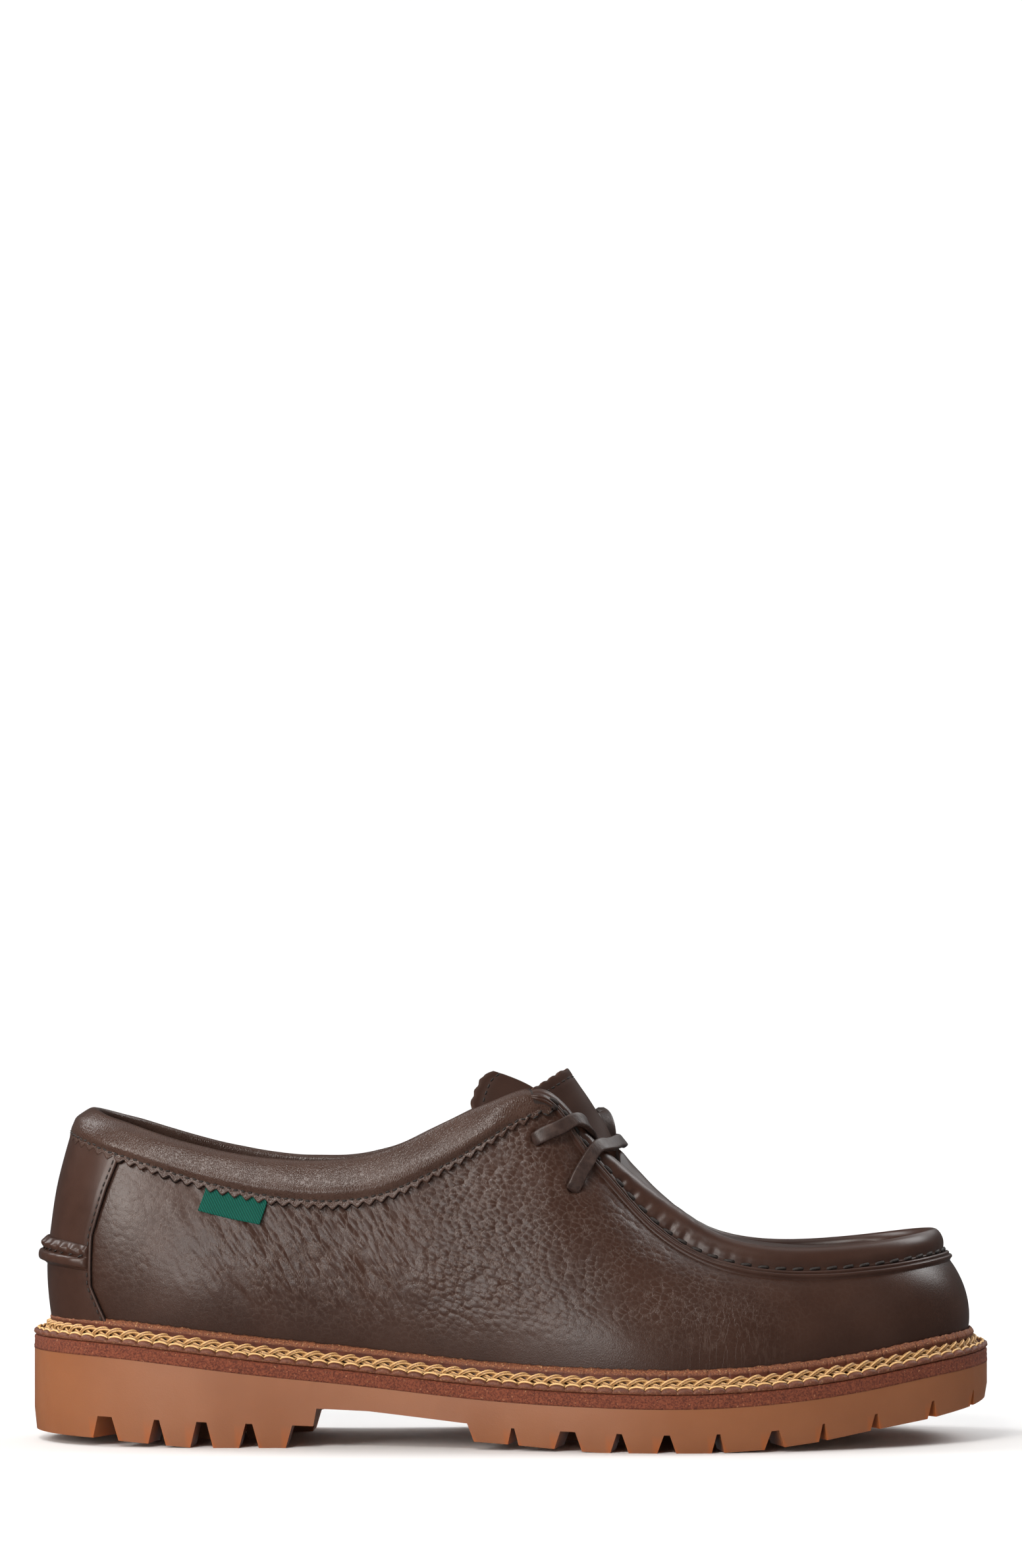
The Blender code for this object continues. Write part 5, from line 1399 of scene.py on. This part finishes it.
def sew_scallops():
    """A thin tube over each scallop: half an ellipse along the edge, thinner at both ends."""
    t = np.linspace(-0.98, 0.90, ARC_RINGS)
    w = ((2 * np.arange(SCALLOPS)[:, None] + 0.98 + t) / SCALLOPS).ravel()
    hump = np.sqrt(np.clip(1 - np.tile(t, SCALLOPS)**2, 0, 1))
    axis = on_seat(outline(w, ARC_INSET)[0], WELT_SHELF - 0.45 + 1.15 * hump)
    along = np.gradient(axis.reshape(SCALLOPS, ARC_RINGS, 3), axis=1).reshape(-1, 3)
    out = outwards(w)
    side = unit(np.cross(along, out))
    turn = turns(ARC_SIDES)[:, None]
    thin = np.sqrt(np.clip(1 - np.abs(np.linspace(-1, 1, ARC_RINGS))**3, 0, 1))
    radius = ARC_THICK * (0.55 + 0.45 * np.tile(thin, SCALLOPS))
    ring = out[:, None] * np.cos(turn) * 1.1 + side[:, None] * np.sin(turn)
    points = axis[:, None] + ring * radius[:, None, None]
    faces = tube_faces(ARC_RINGS, ARC_SIDES, SCALLOPS)
    # A fixed share of 0.75 gives the arcs the pale tone of the plies' painted highlight.
    add_piece("edge_stitch_arcs", points, faces, [BRAID_THREAD], "welt_braid", ply=0.75)


sew_scallops()

# %% [markdown]
# The midsole is a layer of leather between welt and rubber. Its edge is left rough: red-brown, pitted, with
# pale fibres. It is a ring of the outline carried through a short profile, with small noise in its edge,
# closed above and below by strips from side to side.

# %% The midsole and the footbed
MIDSOLE_COLUMNS, FOOTBED_COLUMNS = 1500, 400
MIDSOLE_PROFILE = (
    (1.2, 0.05, 0.0), (-0.1, -0.3, 0.3), (-0.05, 0.4, 1.0), (0.1, 1.1, 1.0), (0.0, 1.8, 1.0),
    (0.08, 2.4, 1.0), (0.0, 3.0, 1.0), (0.12, 3.5, 1.0), (0.4, 3.9, 0.6), (1.6, 4.0, 0.0),
)
INSOLE_INSET, INSOLE_THICK = LEDGE + WALL_THICK + 1.2, 3.0


def add_slab(name, levels, finish, slot):
    """Closed rings of points above each other: bands between them, and strips across the lowest and the
    highest."""
    count, columns = len(levels), len(levels[0])
    ids = np.arange(columns * count).reshape(count, columns)
    ring = np.hstack([ids, ids[:, :1]])
    faces = np.stack([ring[:-1, :-1], ring[:-1, 1:], ring[1:, 1:], ring[1:, :-1]], axis=-1)
    faces = faces.reshape(-1, 4).tolist()
    half = columns // 2
    i = np.arange(1, half - 1)
    for base in (0, (count - 1) * columns):
        far = base + columns - i
        faces += np.stack([base + i, base + i + 1, far - 1, far], axis=-1).tolist()
        faces += [[base, base + 1, base + columns - 1], [base + half - 1, base + half, base + half + 1]]
    add_piece(name, np.array(levels), faces, [finish], slot, [slot])


def make_midsole():
    """The outline at each level of the profile, with fine noise in the rough ones."""
    w = all_round(MIDSOLE_COLUMNS)
    finish = raw_leather(
        "midsole_edge", (0.215, 0.057, 0.027), (0.44, 0.20, 0.10), (0.080, 0.020, 0.011),
        fibre=0.6, deep=0.35)
    levels = []
    for n, (inset, rise, rough) in enumerate(MIDSOLE_PROFILE):
        flat = outline(w, inset + 0.14 * rough * noise(91, w * HALF_ROUND / 0.9, 3.1 * n))[0]
        levels.append(raised(flat, flowing(RUBBER_TOP, flat[:, 0]) + rise))
    add_slab("midsole_layer", levels, finish, "midsole")


def make_footbed():
    """A rounded slab inside the wall, on the midsole."""
    w = all_round(FOOTBED_COLUMNS)
    finish = smooth_leather(
        "footbed_leather", (0.105, 0.050, 0.026), (0.150, 0.080, 0.045), creases=0.6, rough=0.5)
    profile = ((0.0, GAP), (0.0, INSOLE_THICK - 1.0), (0.3, INSOLE_THICK - 0.35), (1.0, INSOLE_THICK),
               (4.0, INSOLE_THICK + 0.1))
    levels = [on_seat(outline(w, INSOLE_INSET + inset)[0], rise) for inset, rise in profile]
    add_slab("footbed", levels, finish, "insole")


make_midsole()
make_footbed()

# %% [markdown]
# The outsole is moulded gum rubber with a heel block, an arch, a toe spring and separate lugs along its
# edge. Each lug narrows downwards, so the ring of points has two places for every column, one at the root
# and one at the tip. Columns of the same lug are joined down to its tip and back, and the rest only along
# the root. Bars stand in the middle of the tread. A Bevel modifier rounds all edges as a mould does.

# %% The lugged outsole
LUG_TIP = (
    (-151, 3.4), (-130, 2.6), (-112, 1.2), (-98, 0.0), (-60, 0.0), (-12, 2.6), (0, 1.9), (14, 0.8),
    (26, 0.0), (62, 0.0), (78, 0.9), (94, 2.9), (110, 5.7), (129, 8.5), (144, 11.4), (151, 13.2),
)
LUG_ROOT = (
    (-151, 10.2), (-125, 9.3), (-95, 8.0), (-61, 6.8), (-60, 12.2), (-44, 11.5), (-16, 8.4), (0, 7.0),
    (17, 6.3), (47, 5.5), (62, 5.8), (80, 6.6), (95, 8.4), (112, 10.9), (130, 14.0), (151, 17.5),
)
LUG_GAPS = (
    (-125.7, 8.8), (-109.3, 5.6), (-95.4, 7.1), (-80.8, 6.1), (0.3, 3.4), (17.0, 8.6), (32.6, 5.6),
    (47.0, 5.8), (62.7, 4.0), (80.1, 6.4), (95.2, 2.8), (111.8, 3.4), (130.3, 3.4), (144.3, 2.4),
)
TREAD_BARS = (
    (-118, 10.0), (-98, 13.0), (-78, 13.0), (2, 17.0), (20, 22.0),
    (38, 26.0), (56, 28.0), (74, 27.0), (92, 22.0), (110, 15.0),
)
LUG_LENGTH, LUG_DRAFT, LUG_TAPER, GAP_SLOPE, LUG_STEP = 17.0, 2.0, 0.7, 0.72, 1.3
HEEL_BREAST_X, FORE_LUG_BACK_X, HEEL_LUG_FRONT_X = (-61.0, -60.0), -11.7, (-69.5, -63.0)
BAR_WIDTH, BAR_RISE, BAR_ROOT, MOULD_ROUND = 9.0, 0.6, 2.5, 0.55


def gum_rubber():
    """Amber rubber, a little clouded and slightly see-through, redder at the cut ends of the lugs."""
    finish = Finish("gum_rubber")
    cloud, skin, flow = (finish.mottle(size, 3.0) for size in (26.0, 0.5, 3.0))
    colour = cloud.within(0.3, 0.7).blend((0.220, 0.079, 0.031), (0.243, 0.090, 0.036))
    colour = (flow.within(0.55, 0.8) * 0.15).blend(colour, (0.26, 0.080, 0.025))
    colour = (finish.share("notch") * 0.8).blend(colour, (0.34, 0.085, 0.015))
    rough = 0.42 + (flow - 0.5) * 0.12 + (skin - 0.5) * 0.08
    depth = {"Subsurface Weight": 0.12, "Subsurface Radius": (1.0, 0.35, 0.12), "Subsurface Scale": 0.003}
    return finish.done(colour, rough, skin * 0.6 + flow * 0.4, deep=0.05, gloss=0.35, **depth)


def s_at(x):
    """Place along the outer half of the outline of a given x."""
    half = OUTLINE_W <= 1
    return np.interp(x, OUTLINE_POINTS[half, 0], OUTLINE_W[half])


def lug_ends(gaps, start, end, open_start, open_end):
    """Each lug's two ends as s at its tip and at its root; the walls of a gap slope."""
    draft = LUG_DRAFT / HALF_ROUND
    ends = [(start, start - draft * open_start)]
    for x, wide in gaps:
        middle, half = s_at(x), wide / HALF_ROUND / 2
        slope = min(draft, GAP_SLOPE * half)
        ends += [(middle - half, middle - half + slope), (middle + half, middle + half - slope)]
    ends.append((end, end + draft * open_end))
    return [(*a, *b) for a, b in zip(ends[::2], ends[1::2])]


def tread_columns(heel_front_x):
    """Columns along one side of the tread: s at the root, s at the tip, and the lug's number or -1 in the
    waist."""
    heel = lug_ends([g for g in LUG_GAPS if g[0] < heel_front_x], 0.0, s_at(heel_front_x), False, True)
    fore = lug_ends([g for g in LUG_GAPS if g[0] > heel_front_x], s_at(FORE_LUG_BACK_X), 1.0, True, False)
    strips = []
    for number, (tip_a, root_a, tip_b, root_b) in enumerate(heel + fore):
        if number == len(heel):
            arch = np.linspace(s_at(HEEL_BREAST_X[1]), s_at(FORE_LUG_BACK_X - 4.0), 36)
            waist = np.concatenate([[s_at(HEEL_BREAST_X[0])], arch])
            strips.append(np.stack([waist, waist, np.full(len(waist), -1.0)], axis=1))
        tips = np.linspace(tip_a, tip_b, max(3, int((tip_b - tip_a) * HALF_ROUND / LUG_STEP)))
        roots = np.concatenate([[root_a], tips[1:-1], [root_b]])
        strips.append(np.stack([roots, tips, np.full(len(tips), float(number))], axis=1))
    return np.concatenate(strips)


def make_outsole():
    """Levels from the rubber's top down to the lugs' tips and back to the roots inside. Columns of the same
    lug are joined over its tip, all others along the root, and the bars are added as tapered blocks."""
    outer, inner = (tread_columns(x) for x in HEEL_LUG_FRONT_X)
    last = outer[-1, 2]
    inner = inner[-2:0:-1] * (-1, -1, 1) + (2, 2, 0)
    inner[:, 2] = np.where(np.isin(inner[:, 2], (-1, 0, last)), inner[:, 2], inner[:, 2] + last)
    root_w, tip_w, lug = np.concatenate([outer, inner]).T
    count = len(lug)
    root_x, tip_x = (outline(w)[0][:, 0] for w in (root_w, tip_w))
    top_z, root_z, tip_z = flowing(RUBBER_TOP, root_x), straight(LUG_ROOT, root_x), straight(LUG_TIP, tip_x)
    levels = ((root_w, 0.0, top_z), (root_w, 0.0, root_z), (tip_w, LUG_TAPER, tip_z),
              (tip_w, LUG_LENGTH - LUG_DRAFT, tip_z), (root_w, LUG_LENGTH, root_z))
    points = np.concatenate([raised(outline(w, inset)[0], z) for w, inset, z in levels])
    top, root, tip, tip_in, root_in = (n * count for n in range(5))
    i = np.arange(count)
    k = (i + 1) % count
    same = (lug >= 0) & (lug == lug[k])

    def band(a, b, which):
        return np.stack([a + i[which], a + k[which], b + k[which], b + i[which]], axis=1).tolist()

    faces = band(top, root, i >= 0) + band(root, root_in, ~same)
    faces += band(root, tip, same) + band(tip, tip_in, same) + band(tip_in, root_in, same)
    ends = np.unique(np.concatenate([i[~same], k[~same]]))
    ends = ends[lug[ends] >= 0]
    faces += np.stack([root + ends, tip + ends, tip_in + ends, root_in + ends], axis=1).tolist()
    a = np.arange(count // 2)
    for base in (top, root_in):
        loops = np.stack([base + a, base + a + 1, base + count - a - 1, base + (count - a) % count], axis=1)
        faces += [list(dict.fromkeys(loop)) for loop in loops.tolist()]
    ids = np.arange(len(points))
    notch = np.isin(ids % count, ends) & (ids >= tip)
    corners = np.array([(-1, -1), (1, -1), (1, 1), (-1, 1)], float)
    for x, wide in TREAD_BARS:
        faces += [[len(points) + n for n in face] for face in tube_faces(2, 4)]
        low, high = straight(LUG_TIP, x) + BAR_RISE, straight(LUG_ROOT, x) + BAR_ROOT
        for z, spread in ((low, 0.0), (high, LUG_DRAFT)):
            block = corners * (BAR_WIDTH / 2 + spread, wide + spread) + (x, 0)
            points = np.concatenate([points, raised(block, z)])
    notch = np.pad(notch.astype(float), (0, len(points) - len(notch)))
    piece = add_piece("lugged_outsole", points, faces, [gum_rubber()], "outsole", ["outsole"], notch=notch)
    piece.data.set_sharp_from_angle(angle=np.radians(50))
    mould = piece.modifiers.new("mould", "BEVEL")
    mould.width, mould.segments, mould.limit_method = MOULD_ROUND * MM, 3, "ANGLE"
    mould.angle_limit, mould.harden_normals = np.radians(28), True


make_outsole()

# %% [markdown]
# The shoe stands on a white sweep: a floor that turns up behind it with no edge. Three soft boxes are on
# the left in front: a large one for the broad sheen on the quarter, a low one for the heel and a high one
# for the cuff. Weak ones fill from the right and from behind, one is overhead, and two light the sweep
# itself, so that it comes out white with only a soft shadow. The camera has the photo's lens, told in the
# photo's pixels.

# %% Sweep, lights and camera
SWEEP_WIDE, SWEEP_FRONT, SWEEP_BACK, SWEEP_ROUND, SWEEP_TALL = 9.0, -3.0, 2.6, 1.2, 4.0
WHITE, PAPER, AMBIENT = (1.0, 1.0, 1.0), (0.86, 0.86, 0.86), 0.10
LIGHTS = (
    ("key_left", (-0.78, -0.80, 0.42), (-0.05, 0.0, 0.05), (0.50, 0.40), 7.6, (1.0, 0.95, 0.90)),
    ("near_left", (-0.28, -0.74, 0.07), (-0.09, 0.0, 0.06), (0.24, 0.09), 1.35, (1.0, 0.97, 0.94)),
    ("high_left", (-0.22, -0.62, 0.70), (-0.07, -0.03, 0.085), (0.26, 0.26), 3.4, (1.0, 0.96, 0.92)),
    ("fill_right", (1.2, -1.0, 0.65), (0.08, 0.0, 0.05), (0.6, 0.6), 0.3, (1.0, 0.96, 0.92)),
    ("back_right", (0.7, 1.1, 0.9), (0.0, 0.0, 0.05), (0.8, 0.6), 2.0, WHITE),
    ("overhead", (0.0, 0.15, 1.4), (0.0, 0.05, 0.0), (1.8, 0.9), 5.0, WHITE),
    ("sweep_left", (-2.2, 0.9, 2.2), (-0.6, 2.2, 0.6), (1.6, 1.6), 62.0, WHITE),
    ("sweep_right", (2.2, 0.9, 2.2), (0.6, 2.2, 0.6), (1.6, 1.6), 62.0, WHITE),
)
PHOTO_TALL, FOCAL_LENGTH, SHIFT_X, SHIFT_Y = 2380, 5746, -1, 455
SENSOR, CAMERA_PLACE = 36.0, (0.0, -1.2, 0.112)


def make_sweep():
    """Floor, quarter circle and back wall as one profile from side to side."""
    turn = np.linspace(0, np.pi / 2, 24)
    y = np.concatenate([[SWEEP_FRONT], SWEEP_BACK - SWEEP_ROUND + SWEEP_ROUND * np.sin(turn), [SWEEP_BACK]])
    z = np.concatenate([[0.0], SWEEP_ROUND - SWEEP_ROUND * np.cos(turn), [SWEEP_TALL]])
    sides = [np.stack([np.full(len(y), x), y, z], axis=1) for x in (SWEEP_WIDE / 2, -SWEEP_WIDE / 2)]
    mesh = bpy.data.meshes.new("floor_sweep")
    mesh.from_pydata(np.concatenate(sides).tolist(), [], grid_faces(2, len(y)))
    mesh.shade_smooth()
    mesh.materials.append(Finish("white_paper").done(PAPER, 0.9))
    floor = bpy.data.objects.new("floor_sweep", mesh)
    bpy.context.scene.collection.objects.link(floor)
    floor.visible_glossy = False


def soft_box(name, place, aim, size, watts, tint):
    """Area light at a place, turned so that it shines at its aim."""
    light = bpy.data.lights.new(name, "AREA")
    light.shape, light.energy, light.color = "RECTANGLE", watts, tint
    light.size, light.size_y = size
    lamp = bpy.data.objects.new(name, light)
    bpy.context.scene.collection.objects.link(lamp)
    back = unit(np.array(place) - np.array(aim))
    level = UP if abs(back[2]) < 0.99 else np.array([0.0, 1.0, 0.0])
    side = unit(np.cross(level, back))
    turned = np.eye(4)
    turned[:3] = np.stack([side, np.cross(back, side), back, place], axis=1)
    lamp.matrix_world = turned.T.tolist()
    lamp.visible_camera = False


def set_camera():
    """Level camera 1.2 m from the shoe, with the photo's lens and upward shift."""
    camera = bpy.data.cameras.new("camera")
    camera.sensor_fit, camera.sensor_width, camera.sensor_height = "VERTICAL", SENSOR, SENSOR
    camera.lens = SENSOR * FOCAL_LENGTH / PHOTO_TALL
    camera.shift_x, camera.shift_y = SHIFT_X / PHOTO_TALL, SHIFT_Y / PHOTO_TALL
    viewer = bpy.data.objects.new("camera", camera)
    viewer.location, viewer.rotation_euler = CAMERA_PLACE, (np.pi / 2, 0.0, 0.0)
    bpy.context.scene.collection.objects.link(viewer)
    bpy.context.scene.camera = viewer


def set_world():
    """Even white light from all round, and colours shown as they are."""
    world = bpy.context.scene.world or bpy.data.worlds.new("studio")
    bpy.context.scene.world = world
    world.use_nodes = True
    inputs = world.node_tree.nodes["Background"].inputs
    inputs["Color"].default_value, inputs["Strength"].default_value = (*WHITE, 1), AMBIENT
    bpy.context.scene.view_settings.view_transform = "Standard"


make_sweep()
for light in LIGHTS:
    soft_box(*light)
set_camera()
set_world()
print("lights:", len(LIGHTS))
